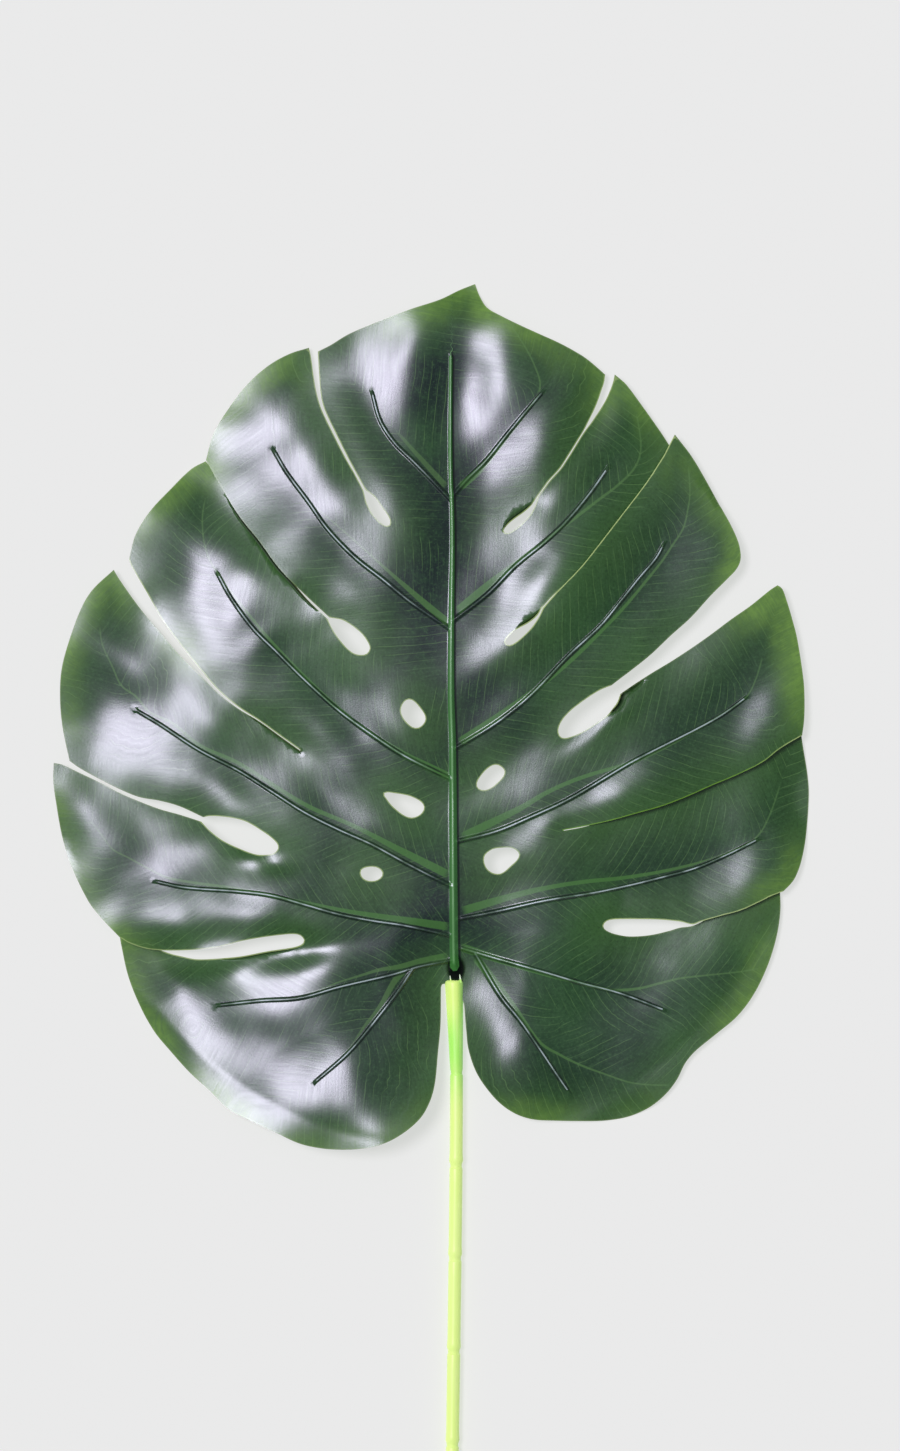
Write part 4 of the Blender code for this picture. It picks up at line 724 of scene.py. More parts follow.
def cut_sheet():
    """Triangulate the flat cut sheet: its edges, rows along the ribs, and a fine grid between."""
    loops = [np.vstack([evenly(smooth(points), EDGE_STEP)[:-1] for points in OUTLINE.values()])]
    for points in INNER_HOLES.values():
        loops.append(evenly(smooth(points, closed=True), EDGE_STEP)[:-1])
    verts, edges = [], []
    for loop in loops:
        first = len(verts)
        verts += list(loop)
        edges += [(first + i, first + (i + 1) % len(loop)) for i in range(len(loop))]
    border = tree_of(np.array(verts))

    rows = []
    for line, _, half_widths in ribs.values():
        for rail in rib_rails(line, half_widths):
            rows += list(rail)
    for name, (first, last, width, _, _) in LIPS.items():
        line = evenly(smooth(OUTLINE[name]), LIP_STEP)
        ahead = np.gradient(line, axis=0)
        inward = np.column_stack([-ahead[:, 1], ahead[:, 0]])
        inward = inward / np.linalg.norm(ahead, axis=1)[:, None]
        ends = np.array([first, last]) * (len(line) - 1)
        stretch = slice(int(ends[0]), int(ends[1]) + 1)
        for share in LIP_ROWS:
            row = line[stretch] + inward[stretch] * width * MM * share
            rows += list(row[inside(loops[0], row)])
    rows = np.array(rows)
    low, high = loops[0].min(axis=0), loops[0].max(axis=0)
    row_step = GRID_STEP * math.sqrt(3.0) / 2.0
    grid = []
    for row in range(int((high[1] - low[1]) / row_step) + 1):
        for column in range(int((high[0] - low[0]) / GRID_STEP) + 1):
            grid.append((low[0] + GRID_STEP * (column + 0.5 * (row % 2)), low[1] + row_step * row))
    grid = np.array(grid)
    keep = inside(loops[0], grid)
    for loop in loops[1:]:
        keep &= ~inside(loop, grid)
    grid = grid[keep]
    grid = grid[np.array([border.find((*point, 0.0))[2] > GRID_CLEAR for point in grid])]
    row_tree = tree_of(rows)
    grid = grid[np.array([row_tree.find((*point, 0.0))[2] > GRID_CLEAR for point in grid])]
    rows = spread_out(rows, RAIL_GAP)
    verts = [Vector(point) for point in np.vstack([verts, rows, grid])]
    result = delaunay_2d_cdt(verts, edges, [], 0, TINY)
    flat = np.array([tuple(point) for point in result[0]])
    faces = np.array([tuple(face) for face in result[2]])
    middles = flat[faces].mean(axis=1)
    keep = inside(loops[0], middles)
    for loop in loops[1:]:
        keep &= ~inside(loop, middles)
    faces = faces[keep]
    a, b, c = (flat[faces[:, i]] for i in range(3))
    turn = (b[:, 0] - a[:, 0]) * (c[:, 1] - a[:, 1]) - (b[:, 1] - a[:, 1]) * (c[:, 0] - a[:, 0])
    return flat, np.where((turn > 0.0)[:, None], faces, faces[:, ::-1]), loops


def tree_of(points):
    """A search tree over plan points."""
    tree = KDTree(len(points))
    for i, point in enumerate(points):
        tree.insert((*point, 0.0), i)
    tree.balance()
    return tree


def spread_out(points, gap):
    """The points without those that come closer than the gap to one kept before them."""
    tree = tree_of(points)
    dropped = set()
    for i, point in enumerate(points):
        if i not in dropped:
            dropped.update(j for _, j, _ in tree.find_range((*point, 0.0), gap) if j > i)
    return np.array([point for i, point in enumerate(points) if i not in dropped])


def skin(name, face, under, triangles):
    """A closed sheet from its face and its underside, both on one triangulation."""
    count = len(face)
    faces = [tuple(triangle) for triangle in triangles]
    faces += [tuple(triangle[::-1] + count) for triangle in triangles]
    seen = {edge for a, b, c in triangles for edge in ((a, b), (b, c), (c, a))}
    for a, b in sorted(seen):
        if (b, a) not in seen:
            faces.append((b, a, a + count, b + count))
    mesh = bpy.data.meshes.new(name)
    mesh.from_pydata(np.vstack([face, under]).tolist(), [], [list(map(int, f)) for f in faces])
    mesh.validate()
    thing = bpy.data.objects.new(name, mesh)
    bpy.context.scene.collection.objects.link(thing)
    return thing


def point_values(thing, name, values):
    """Keep one number for each point of the face, the same on the underside below it."""
    layer = thing.data.attributes.new(name, "FLOAT", "POINT")
    layer.data.foreach_set("value", np.concatenate([values, values]).astype(np.float32))


def corner_values(thing, name, first, second):
    """Keep two numbers for each corner of the face's triangles in a UV map of that name."""
    layer = thing.data.uv_layers.new(name=name)
    pairs = np.zeros((len(thing.data.loops), 2), np.float32)
    pairs[:len(first)] = np.column_stack([first, second])
    layer.data.foreach_set("uv", pairs.ravel())


def follow_veins(flat, triangles):
    """Each corner's place along and across the vein nearest its triangle, in millimetres."""
    lines = [evenly(smooth(points), VEIN_STEP) for points in VEINS.values()]
    middles = flat[triangles].mean(axis=1)
    gaps = np.array([beside(line, middles)[0] for line in lines])
    nearest = gaps.argmin(axis=0)
    two = np.sort(gaps, axis=0)[:2]
    along, across, left, seam = (np.zeros(len(triangles) * 3) for _ in range(4))
    for i, line in enumerate(lines):
        ahead = (line[-1] - line[-2]) / np.linalg.norm(line[-1] - line[-2])
        behind = (line[0] - line[1]) / np.linalg.norm(line[0] - line[1])
        longer = np.vstack([line[0] + behind * VEIN_OVERRUN, line, line[-1] + ahead * VEIN_OVERRUN])
        mine = np.flatnonzero(nearest == i)
        corners = triangles[mine].ravel()
        away, travelled, side = beside(longer, flat[corners])
        places = (mine[:, None] * 3 + np.arange(3)).ravel()
        length = np.linalg.norm(np.diff(line, axis=0), axis=1).sum()
        along[places] = (travelled - VEIN_OVERRUN) / MM
        across[places] = away * side / MM
        left[places] = (length - travelled + VEIN_OVERRUN) / MM
        seam[places] = np.repeat((two[1] - two[0])[mine] / MM, 3)
    return along, across, left, seam


stem_low, stem_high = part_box("stem")
junction = np.array([(stem_low.x + stem_high.x) / 2.0, stem_high.y + JUNCTION_ABOVE_COLLAR, 0.0])

flat, triangles, loops = cut_sheet()
face = press_sheet(flat)
blade = skin("blade", face + junction, face + junction - (0.0, 0.0, BLADE_THICKNESS), triangles)

edge_points, edge_shows = [], []
for name, points in list(OUTLINE.items()) + list(INNER_HOLES.items()):
    line = evenly(smooth(points, closed=name in INNER_HOLES), EDGE_MARK_STEP)
    edge_points.append(line)
    edge_shows.append(np.full(len(line), PALE_EDGES.get(name, PALE_ELSEWHERE)))
edge_points, edge_shows = np.vstack(edge_points), np.concatenate(edge_shows)
edge_tree = tree_of(edge_points)
found = [edge_tree.find((*point, 0.0)) for point in flat]
point_values(blade, "to_edge", np.array([gap for _, _, gap in found]) / MM)
point_values(blade, "pale_edge", edge_shows[[i for _, i, _ in found]])
away, along, side = beside(ribs["midrib"][0], flat)
point_values(blade, "midrib_across", away * side / MM)
point_values(blade, "midrib_away", away / MM)
point_values(blade, "midrib_along", along / MM)
blush = np.zeros(len(flat))
for cx, cy, radius, strength in BLUSHES:
    gap = np.hypot(flat[:, 0] - cx * MM, flat[:, 1] - cy * MM) / (radius * BLUSH_SPREAD * MM)
    blush = blush + strength * np.exp(-gap ** 2) * (1.0 - blush)
point_values(blade, "blush", blush)
found = [beside(line, flat) for line, _, _ in ribs.values()]
beyond = [along > along.max() - TINY for _, along, _ in found]
to_rib = np.min([np.where(past, 1.0, away) for (away, _, _), past in zip(found, beyond)], axis=0)
point_values(blade, "to_rib", to_rib / MM)
# How strongly painted shade darkens each point of the turned-down lips
shade = np.max([row[4] * lip_share(flat, name) for name, row in LIPS.items()], axis=0)
point_values(blade, "shade", shade)
point_values(blade, "painted_pocket_mask", patch(flat, *PAINTED_POCKET_PATCH)[1])
point_values(blade, "lime", patch(flat, *LIME_STRETCH)[1])
along, across, left, seam = follow_veins(flat, triangles)
corner_values(blade, "vein", along, across)
corner_values(blade, "vein_end", left, seam)


class Finish:
    """A material, with short calls that add its nodes and join them."""

    def __init__(self, name, **surface):
        self.material = bpy.data.materials.new(name)
        self.material.use_nodes = True
        self.tree = self.material.node_tree
        self.shader = self.tree.nodes["Principled BSDF"]
        for socket, value in surface.items():
            self.shader.inputs[socket.replace("_", " ")].default_value = value

    def add(self, kind, *inputs, out=0, **settings):
        """A node with its settings; each input is a value, a socket that feeds it, or None."""
        node = self.tree.nodes.new("ShaderNode" + kind)
        for setting, value in settings.items():
            setattr(node, setting, value)
        for socket, value in zip(node.inputs, inputs):
            if isinstance(value, bpy.types.NodeSocket):
                self.tree.links.new(value, socket)
            elif value is not None:
                socket.default_value = value
        return node.outputs[out]

    def do(self, operation, *inputs):
        return self.add("Math", *inputs, operation=operation)

    def times(self, first, second):
        return self.do("MULTIPLY", first, second)

    def plus(self, first, second):
        return self.do("ADD", first, second)

    def minus(self, first, second):
        return self.do("SUBTRACT", first, second)

    def climb(self, value, low, high, top=1.0, bottom=0.0):
        """A smooth run from bottom, where the value is low, to top, where it is high."""
        return self.add("MapRange", value, low, high, bottom, top,
                        interpolation_type="SMOOTHSTEP")

    def mix(self, share, first, second):
        return self.add("MixRGB", share, first, second)

    def noise(self, place, scale, detail=2.0, rough=0.5):
        return self.add("TexNoise", place, None, scale, detail, rough)

    def kept(self, name):
        """A number that the mesh keeps for each point."""
        return self.add("Attribute", attribute_name=name, out=2)

    def feed(self, socket, value):
        self.tree.links.new(value, self.shader.inputs[socket])


def colour(red, green, blue):
    """A colour as it shows on a screen, 0 to 255, as light."""
    return tuple((part / 255.0 / 12.92) if part <= 10.3 else
                 (((part / 255.0) + 0.055) / 1.055) ** 2.4 for part in (red, green, blue)) + (1.0,)


# The print: ground and cloud, comb, speckle, rim and veins; painted shade and highlight on ribs
INNER_GREEN = colour(30, 64, 35)
OUTER_GREEN = colour(25, 42, 40)
MOTTLED_GREEN = colour(46, 80, 50)
WASHED_GREEN = colour(56, 106, 48)
RIM_GREEN = colour(76, 122, 54)
COMB_GREEN = colour(74, 112, 68)
COMB_SHADE = colour(26, 50, 30)
SPECKLE_GREEN = colour(72, 114, 68)
SPECKLE_SHADE = colour(18, 42, 26)
STREAK_GREEN = colour(118, 162, 92)
BLUSH_GREEN = colour(122, 166, 70)
VEIN_ROOT_GREEN = colour(76, 130, 58)
VEIN_END_GREEN = colour(104, 148, 82)
# Painted shade for the ribs' flanks and a painted highlight for their crests
PAINTED_RIB_FLANK_SHADE = colour(14, 30, 24)
PAINTED_RIB_CREST_HIGHLIGHT = colour(186, 204, 204)
PAINTED_POCKET_SHADE = colour(5, 12, 7)
MIDRIB_GREEN = colour(66, 128, 60)
PAINTED_MIDRIB_HIGHLIGHT = colour(128, 182, 120)
PAINTED_MIDRIB_FLANK_SHADE = colour(10, 22, 18)
PAINTED_LIP_SHADE = colour(8, 20, 10)
PALE_RIM = colour(198, 222, 142)
LIME_RIM = colour(118, 170, 50)
COMB_SLANT = 0.95
COMB_SPACING = 4.6
MIDRIB_BAND_ROOT = 1.85
MIDRIB_BAND_END = 0.85
MIDRIB_BAND_LENGTH = 250.0
BACK_GREEN = colour(70, 108, 60)
CUT_CLOTH = colour(176, 200, 128)

print_face = Finish("printed_coated_cloth", Roughness=0.27, Specular_Tint=(0.90, 0.90, 1.0, 1.0))
f = print_face
place = f.add("TexCoord", out=3)
vein_uv = f.add("UVMap", uv_map="vein")
end_uv = f.add("UVMap", uv_map="vein_end")
u = f.add("SeparateXYZ", vein_uv, out=0)
v = f.add("SeparateXYZ", vein_uv, out=1)
left_to_go = f.add("SeparateXYZ", end_uv, out=0)
seam = f.add("SeparateXYZ", end_uv, out=1)
v_size = f.do("ABSOLUTE", v)
to_edge = f.kept("to_edge")
midrib_across = f.kept("midrib_across")
midrib_away = f.kept("midrib_away")
midrib_along = f.kept("midrib_along")

cloudy = f.noise(place, 38.0, 3.0, 0.55)
mottled = f.noise(place, 240.0, 3.0, 0.6)
near_midrib = f.climb(f.do("MULTIPLY_ADD", cloudy, 30.0, f.minus(midrib_away, 15.0)),
                      4.0, 60.0, 0.0, 1.0)
ground = f.mix(near_midrib, INNER_GREEN, OUTER_GREEN)
ground = f.mix(f.climb(mottled, 0.42, 0.72, 0.5), ground, MOTTLED_GREEN)
washed = f.climb(f.noise(place, 26.0, 2.0), 0.45, 0.72, 0.4)
ground = f.mix(washed, ground, WASHED_GREEN)
rim = f.climb(f.do("MULTIPLY_ADD", cloudy, 18.0, to_edge), 6.0, 34.0, 0.0, 0.5)
ground = f.mix(rim, ground, RIM_GREEN)

bend = f.times(f.minus(f.noise(place, 45.0, 3.0), 0.5), 4.5)
phase = f.plus(f.do("MULTIPLY_ADD", v_size, -COMB_SLANT, u), bend)
spacing = f.times(phase, 1.0 / COMB_SPACING)
wander = f.do("PINGPONG", spacing, 0.5)
streak = f.climb(wander, 0.012, 0.06, 0.0, 1.0)
faded = f.climb(f.noise(place, 80.0, 3.0), 0.36, 0.60)
streak = f.times(streak, f.times(faded, f.climb(seam, 0.0, 5.0)))
comb_place = f.add("CombineXYZ", f.times(phase, 1.1), f.times(v, 0.10))
combed = f.add("TexNoise", comb_place, None, 1.0, 3.0, 0.6)
ground = f.mix(f.climb(combed, 0.50, 0.78, 0.28), ground, COMB_GREEN)
ground = f.mix(f.climb(combed, 0.50, 0.25, 0.25), ground, COMB_SHADE)
speckled = f.noise(place, 900.0, 3.0, 0.7)
ground = f.mix(f.climb(speckled, 0.50, 0.75, 0.5), ground, SPECKLE_GREEN)
ground = f.mix(f.climb(speckled, 0.50, 0.25, 0.45), ground, SPECKLE_SHADE)
ground = f.mix(f.times(streak, 0.36), ground, STREAK_GREEN)
blushed = f.times(f.climb(f.kept("blush"), 0.05, 0.95),
               f.climb(f.do("MULTIPLY_ADD", cloudy, 16.0, to_edge), 7.0, 21.0, 0.0, 0.85))
blushed = f.times(blushed, f.climb(f.plus(combed, mottled), 0.75, 1.2, 0.65, 1.1))
ground = f.mix(blushed, ground, BLUSH_GREEN)

half_width = f.plus(f.climb(left_to_go, 0.0, 110.0, 0.85, 0.30),
                  f.climb(u, 0.0, 45.0, 0.0, 0.8))
band = f.minus(half_width, v_size)
band = f.climb(band, -0.15, 0.2)
band = f.times(band, f.climb(left_to_go, -1.0, 4.0))
band = f.times(band, f.climb(u, -1.0, 2.0))
band_colour = f.mix(f.climb(left_to_go, 10.0, 90.0), VEIN_END_GREEN, VEIN_ROOT_GREEN)
band = f.times(band, f.climb(left_to_go, 0.0, 90.0, 0.75, 0.35))
ground = f.mix(band, ground, band_colour)
to_rib = f.kept("to_rib")
# Painted shade: a dark line down both flanks of each rib
painted_rib_shade_mask = f.times(f.climb(to_rib, 0.25, 0.55), f.climb(to_rib, 0.9, 1.3, 0.0, 1.0))
broken = f.climb(f.noise(place, 110.0, 2.0), 0.36, 0.6, 1.0, 0.15)
painted_rib_shade_mask = f.times(painted_rib_shade_mask, f.climb(broken, 0.2, 0.9, 0.4, 0.8))
ground = f.mix(painted_rib_shade_mask, ground, PAINTED_RIB_FLANK_SHADE)
# Painted highlight: a pale line along each rib's crest
crest = f.climb(to_rib, 0.1, 0.38, 0.0, f.times(broken, f.climb(midrib_away, 4.0, 20.0)))
ground = f.mix(crest, ground, PAINTED_RIB_CREST_HIGHLIGHT)
# Painted shade: a near-black pocket round the midrib's root, by the collar
painted_pocket_mask = f.climb(f.kept("painted_pocket_mask"), 0.3, 0.7)
ground = f.mix(painted_pocket_mask, ground, PAINTED_POCKET_SHADE)
midrib_half = f.climb(midrib_along, 0.0, MIDRIB_BAND_LENGTH, MIDRIB_BAND_END, MIDRIB_BAND_ROOT)
midrib_band = f.climb(f.minus(midrib_half, midrib_away), -0.2, 0.3)
ground = f.mix(f.times(midrib_band, 0.95), ground, MIDRIB_GREEN)
# Painted highlight: a pale line along the midrib's crest
painted_midrib_highlight_mask = f.climb(f.do("ABSOLUTE", f.minus(midrib_across, 0.3)), 0.2, 0.6, 0.0, 0.6)
painted_midrib_highlight_mask = f.times(painted_midrib_highlight_mask, f.climb(midrib_along, 0.5, 3.0))
ground = f.mix(painted_midrib_highlight_mask, ground, PAINTED_MIDRIB_HIGHLIGHT)
# Painted shade: a dark line down the midrib's right flank, away from the lamp
painted_midrib_shade_mask = f.do("ABSOLUTE", f.plus(f.plus(midrib_across, midrib_half), 0.2))
painted_midrib_shade_mask = f.climb(painted_midrib_shade_mask, 0.3, 0.7, 0.0, f.climb(midrib_along, 1.0, 4.0, 0.9))
ground = f.mix(painted_midrib_shade_mask, ground, PAINTED_MIDRIB_FLANK_SHADE)
# Painted shade on the turned-down lips
shade = f.kept("shade")
ground = f.mix(shade, ground, PAINTED_LIP_SHADE)
pale = f.times(f.climb(to_edge, 0.25, 0.6, 0.0, 1.0), f.kept("pale_edge"))
cut_rim = f.mix(f.climb(f.kept("lime"), 0.2, 0.6), PALE_RIM, LIME_RIM)
ground = f.mix(pale, ground, cut_rim)
f.feed("Base Color", ground)
gloss = f.climb(combed, 0.25, 0.75, 0.95, 0.72)
dull = f.do("MAXIMUM", shade, f.times(painted_pocket_mask, 0.7))
f.feed("Specular IOR Level", f.times(gloss, f.climb(dull, 0.0, 0.6, 0.1, 1.0)))
grain = f.do("MULTIPLY_ADD", combed, 0.8, f.noise(place, 1500.0, 2.0))
f.feed("Normal", f.add("Bump", 0.06, 0.0002, None, grain))
blade.data.materials.append(print_face.material)

underside = Finish("matte_cloth_back", Roughness=0.7, Base_Color=BACK_GREEN)
blade.data.materials.append(underside.material)
cut_edge = Finish("cut_cloth_edge", Roughness=0.6, Base_Color=CUT_CLOTH)
blade.data.materials.append(cut_edge.material)
count = len(triangles)
slots = np.zeros(len(blade.data.polygons), np.int32)
slots[count:count * 2] = 1
slots[count * 2:] = 2
blade.data.polygons.foreach_set("material_index", slots)
smooth_faces = np.ones(len(slots), bool)
blade.data.polygons.foreach_set("use_smooth", smooth_faces)
loop_edges = np.zeros(len(blade.data.loops), np.int32)
blade.data.loops.foreach_get("edge_index", loop_edges)
sharp = np.zeros(len(blade.data.edges), bool)
sharp[loop_edges[count * 6:]] = True
blade.data.edges.foreach_set("use_edge_sharp", sharp)
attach(blade, "root")
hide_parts("leaf_blade")

# The ribs
# A skeleton of green plastic, moulded in one piece, that lies under the pressed ridges and holds
# the blade's shape. The midrib ends in a plug that is pushed into the stem's collar.
CLEARANCE = 0.0003
MIDRIB_ROD = (0.0017, 0.0008)
SIDE_ROD = (0.0008, 0.0006)
ROD_STEP = 0.0030
ROD_SIDES = 16
PLUG_RADIUS = 0.0019
PLUG_LENGTH = 0.010
PLUG_SHOULDER = 0.0022
ROOT_SINK = 0.4 * MM
ROUNDED_END = (0.35, 0.75, 0.95)
ROUNDED_REACH = (0.45, 0.8, 0.98)
WELD_GAP = 0.00002
ROD_SMOOTH_ANGLE = math.radians(40.0)
RIB_DARK_GREEN = colour(62, 112, 48)
RIB_LIGHT_GREEN = colour(88, 144, 64)


def round_rod(name, path, radii):
    """A round rod along a bent path with both of its ends rounded off."""
    bpy.ops.object.select_all(action="DESELECT")
    ahead = (path[-1] - path[-2]) / np.linalg.norm(path[-1] - path[-2])
    tip = [path[-1] + ahead * radii[-1] * share for share in ROUNDED_REACH]
    path = np.vstack([path, tip])
    radii = np.concatenate([radii, [radii[-1] * share for share in ROUNDED_END[::-1]]])
    line = bpy.data.curves.new(name, "CURVE")
    line.dimensions = "3D"
    line.twist_mode = "Z_UP"
    line.bevel_depth = 1.0
    line.bevel_resolution = ROD_SIDES // 4 - 1
    line.use_fill_caps = True
    spline = line.splines.new("POLY")
    spline.points.add(len(path) - 1)
    for point, position, radius in zip(spline.points, path, radii):
        point.co = (*position, 1.0)
        point.radius = radius
    rod = bpy.data.objects.new(name, line)
    bpy.context.scene.collection.objects.link(rod)
    rod.select_set(True)
    bpy.context.view_layer.objects.active = rod
    bpy.ops.object.convert(target="MESH")
    return bpy.context.active_object


def rod_path(name):
    """The axis of the rod below a ridge, and its radius at each point."""
    line, heights, half_widths = ribs[name]
    stations = evenly(line, ROD_STEP)
    rod = MIDRIB_ROD if name == "midrib" else SIDE_ROD
    crest = press_sheet(stations)
    share = np.linspace(0.0, 1.0, len(stations))
    radii = between(rod, share)
    steepness = np.hypot(between(heights, share), between(half_widths, share))
    depth = (radii + CLEARANCE) * steepness / between(half_widths, share)
    crest[:, 2] -= BLADE_THICKNESS + depth
    return crest, radii


rods = []
for name in ribs:
    path, radii = rod_path(name)
    if name == "midrib":
        height = path[0, 2]
        plug = [(path[0, 0], -PLUG_LENGTH - JUNCTION_ABOVE_COLLAR, height),
                (path[0, 0], path[0, 1] - PLUG_SHOULDER, height)]
        path = np.vstack([plug, path])
        radii = np.concatenate([[PLUG_RADIUS, PLUG_RADIUS], radii])
    else:
        path[0, 2] -= ROOT_SINK
    rods.append(round_rod(name.replace(" ", "_") + "_rod", path + junction, radii))
bpy.ops.object.select_all(action="DESELECT")
for rod in rods:
    rod.select_set(True)
bpy.context.view_layer.objects.active = rods[0]
bpy.ops.object.join()
skeleton = bpy.context.active_object
skeleton.name = "rib_skeleton"
bpy.ops.object.mode_set(mode="EDIT")
bpy.ops.mesh.select_all(action="SELECT")
bpy.ops.mesh.remove_doubles(threshold=WELD_GAP)
bpy.ops.mesh.normals_make_consistent(inside=False)
bpy.ops.object.mode_set(mode="OBJECT")
bpy.ops.object.shade_smooth_by_angle(angle=ROD_SMOOTH_ANGLE)

moulded = Finish("moulded_rib_plastic", Roughness=0.38, Specular_IOR_Level=0.5)
place = moulded.add("TexCoord", out=3)
flow = moulded.noise(place, 160.0, 3.0)
moulded.feed("Base Color", moulded.mix(flow, RIB_DARK_GREEN, RIB_LIGHT_GREEN))
moulded.feed("Normal", moulded.add("Bump", 0.15, 0.0003, None, moulded.noise(place, 900.0)))
skeleton.data.materials.append(moulded.material)
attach(skeleton, "root")
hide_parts("rib_frame")

# The stem
# A soft plastic tube moulded round a steel wire in neon yellow-green: a long tapered collar that
# grips the ribs' plug, and below it equal joints, each a little flared before a narrow neck.
COLLAR_TOP_RADIUS = 0.0037
COLLAR_LENGTH = 0.0372
COLLAR_END_RADIUS = 0.0025
SHOULDER = 0.0012
JOINT_COUNT = 5
JOINT_LENGTH = 0.0372
JOINT_TOP_RADIUS = 0.0026
JOINT_FLARE_RADIUS = 0.0028
NECK_RADIUS = 0.0023
BORE_RADIUS = 0.0022
BORE_DEPTH = 0.012
CORE_RADIUS = 0.0011
STEM_SIDES = 32
SOLID_SIDES = 16
NECK_PROFILE = (
    (COLLAR_END_RADIUS - 0.0001, -0.0010), (NECK_RADIUS, -0.0002), (NECK_RADIUS, 0.0004),
    (JOINT_TOP_RADIUS - 0.0001, 0.0006), (JOINT_TOP_RADIUS, 0.0012))
FLARE_PROFILE = ((JOINT_FLARE_RADIUS - 0.00008, -0.0036), (JOINT_FLARE_RADIUS, -0.0022))
END_PROFILE = (
    (JOINT_FLARE_RADIUS - 0.0001, -0.0002), (JOINT_FLARE_RADIUS - 0.0003, 0.0), (CORE_RADIUS, 0.0))
REST_FROM_END = 0.0024
COLLAR_LEAN = 0.00084
RIM_ASIDE = 0.00044
BOW = 0.0016
BOW_LENGTH = 0.2
WAVER = 0.0005
WAVER_LENGTH = 0.045
WAVER_FADE = 0.1
# Two small white tags on the collar's rim that stand in for two glints there: painted highlights
GLINT_TAGS = ((-0.0022, 0.0004, 0.0019), (0.0017, 0.0006, 0.0024))
TAG_SIDES = 10
TAG_POINT_RADIUS = 0.00015
TAG_ROOT = 0.001
TAG_HEIGHT = 0.0058
TAG_LEAN = (math.radians(-84.0), 0.0, math.radians(8.0))
STEM_SMOOTH_ANGLE = math.radians(38.0)
TUBE_NEON = colour(232, 252, 138)
COLLAR_NEON = colour(164, 244, 84)
COLLAR_TOP_NEON = colour(226, 252, 118)
PAINTED_COLLAR_SHADE = colour(120, 205, 60)
STREAK_NEON = colour(244, 253, 180)
PAINTED_GLINT_WHITE = colour(232, 238, 230)

rings = [(CORE_RADIUS, BORE_DEPTH), (BORE_RADIUS, BORE_DEPTH), (BORE_RADIUS, 0.0004)]
for step in range(6):
    turn = math.radians(90.0 * step / 5.0)
    rings.append((COLLAR_TOP_RADIUS - SHOULDER * (1.0 - math.sin(turn)),
                  SHOULDER * (1.0 - math.cos(turn))))
for share in (0.12, 0.25, 0.4, 0.55, 0.7, 0.85, 0.955):
    rings.append((between((COLLAR_TOP_RADIUS, COLLAR_END_RADIUS), share), COLLAR_LENGTH * share))
top = COLLAR_LENGTH
for _ in range(JOINT_COUNT):
    rings += [(radius, top + down) for radius, down in NECK_PROFILE]
    for share in (0.2, 0.4, 0.6, 0.75, 0.85):
        rings.append((JOINT_TOP_RADIUS, top + JOINT_LENGTH * share))
    top += JOINT_LENGTH
    rings += [(radius, top + down) for radius, down in FLARE_PROFILE]
rings += [(radius, top + down) for radius, down in END_PROFILE]


def stem_sway(down):
    """How far the stem has wandered sideways at a distance down it."""
    lean = COLLAR_LEAN * min(down / COLLAR_LENGTH, 1.0)
    aside = lean - RIM_ASIDE - BOW * (down / BOW_LENGTH) ** 2
    return aside + WAVER * math.sin(down / WAVER_LENGTH) * math.exp(-down / WAVER_FADE)


to_flat = math.cos(math.pi / SOLID_SIDES)
rim_height = COLLAR_TOP_RADIUS * to_flat
end_height = JOINT_FLARE_RADIUS * to_flat
fall = (rim_height - end_height) / (top - REST_FROM_END)
start = (junction[0], stem_high.y, rim_height)
bpy.ops.object.select_all(action="DESELECT")
bpy.ops.mesh.primitive_circle_add(
    vertices=STEM_SIDES, radius=rings[0][0], fill_type="NOTHING",
    location=(start[0], start[1] - rings[0][1], start[2] - fall * rings[0][1]),
    rotation=(math.pi / 2.0, 0.0, 0.0))
stem = bpy.context.active_object
stem.name = "neon_stem"
bpy.ops.object.mode_set(mode="EDIT")
bpy.ops.mesh.select_all(action="SELECT")
before = rings[0]
for ring in rings[1:]:
    shift = (stem_sway(ring[1]) - stem_sway(before[1]), -(ring[1] - before[1]),
             -fall * (ring[1] - before[1]))
    bpy.ops.mesh.extrude_region_move(TRANSFORM_OT_translate={"value": shift})
    centre = (start[0] + stem_sway(ring[1]) - stem_sway(rings[0][1]), start[1] - ring[1],
              start[2] - fall * ring[1])
    scale = ring[0] / before[0]
    bpy.ops.transform.resize(value=(scale, 1.0, scale), center_override=centre)
    before = ring
bpy.ops.object.mode_set(mode="OBJECT")
bpy.ops.object.transform_apply(location=True, rotation=True, scale=True)
stem.data.transform(Matrix.Translation((stem_sway(0.0), 0.0, 0.0)))
welded = bmesh.new()
welded.from_mesh(stem.data)
ends = [edge for edge in welded.edges if edge.is_boundary]
bmesh.ops.bridge_loops(welded, edges=ends)
bmesh.ops.recalc_face_normals(welded, faces=welded.faces)
welded.to_mesh(stem.data)
welded.free()
# The white tags that stand in for the collar's two glints
for aside, radius, length in GLINT_TAGS:
    bpy.ops.object.select_all(action="DESELECT")
    bpy.ops.mesh.primitive_cone_add(
        vertices=TAG_SIDES, radius1=radius, radius2=TAG_POINT_RADIUS, depth=length + TAG_ROOT,
        location=(start[0] + aside, start[1] + 0.5 * length - 0.5 * TAG_ROOT, TAG_HEIGHT),
        rotation=TAG_LEAN)
    bpy.ops.object.transform_apply(location=True, rotation=True, scale=True)
    stem.select_set(True)
    bpy.context.view_layer.objects.active = stem
    bpy.ops.object.join()
bpy.ops.object.shade_smooth_by_angle(angle=STEM_SMOOTH_ANGLE)

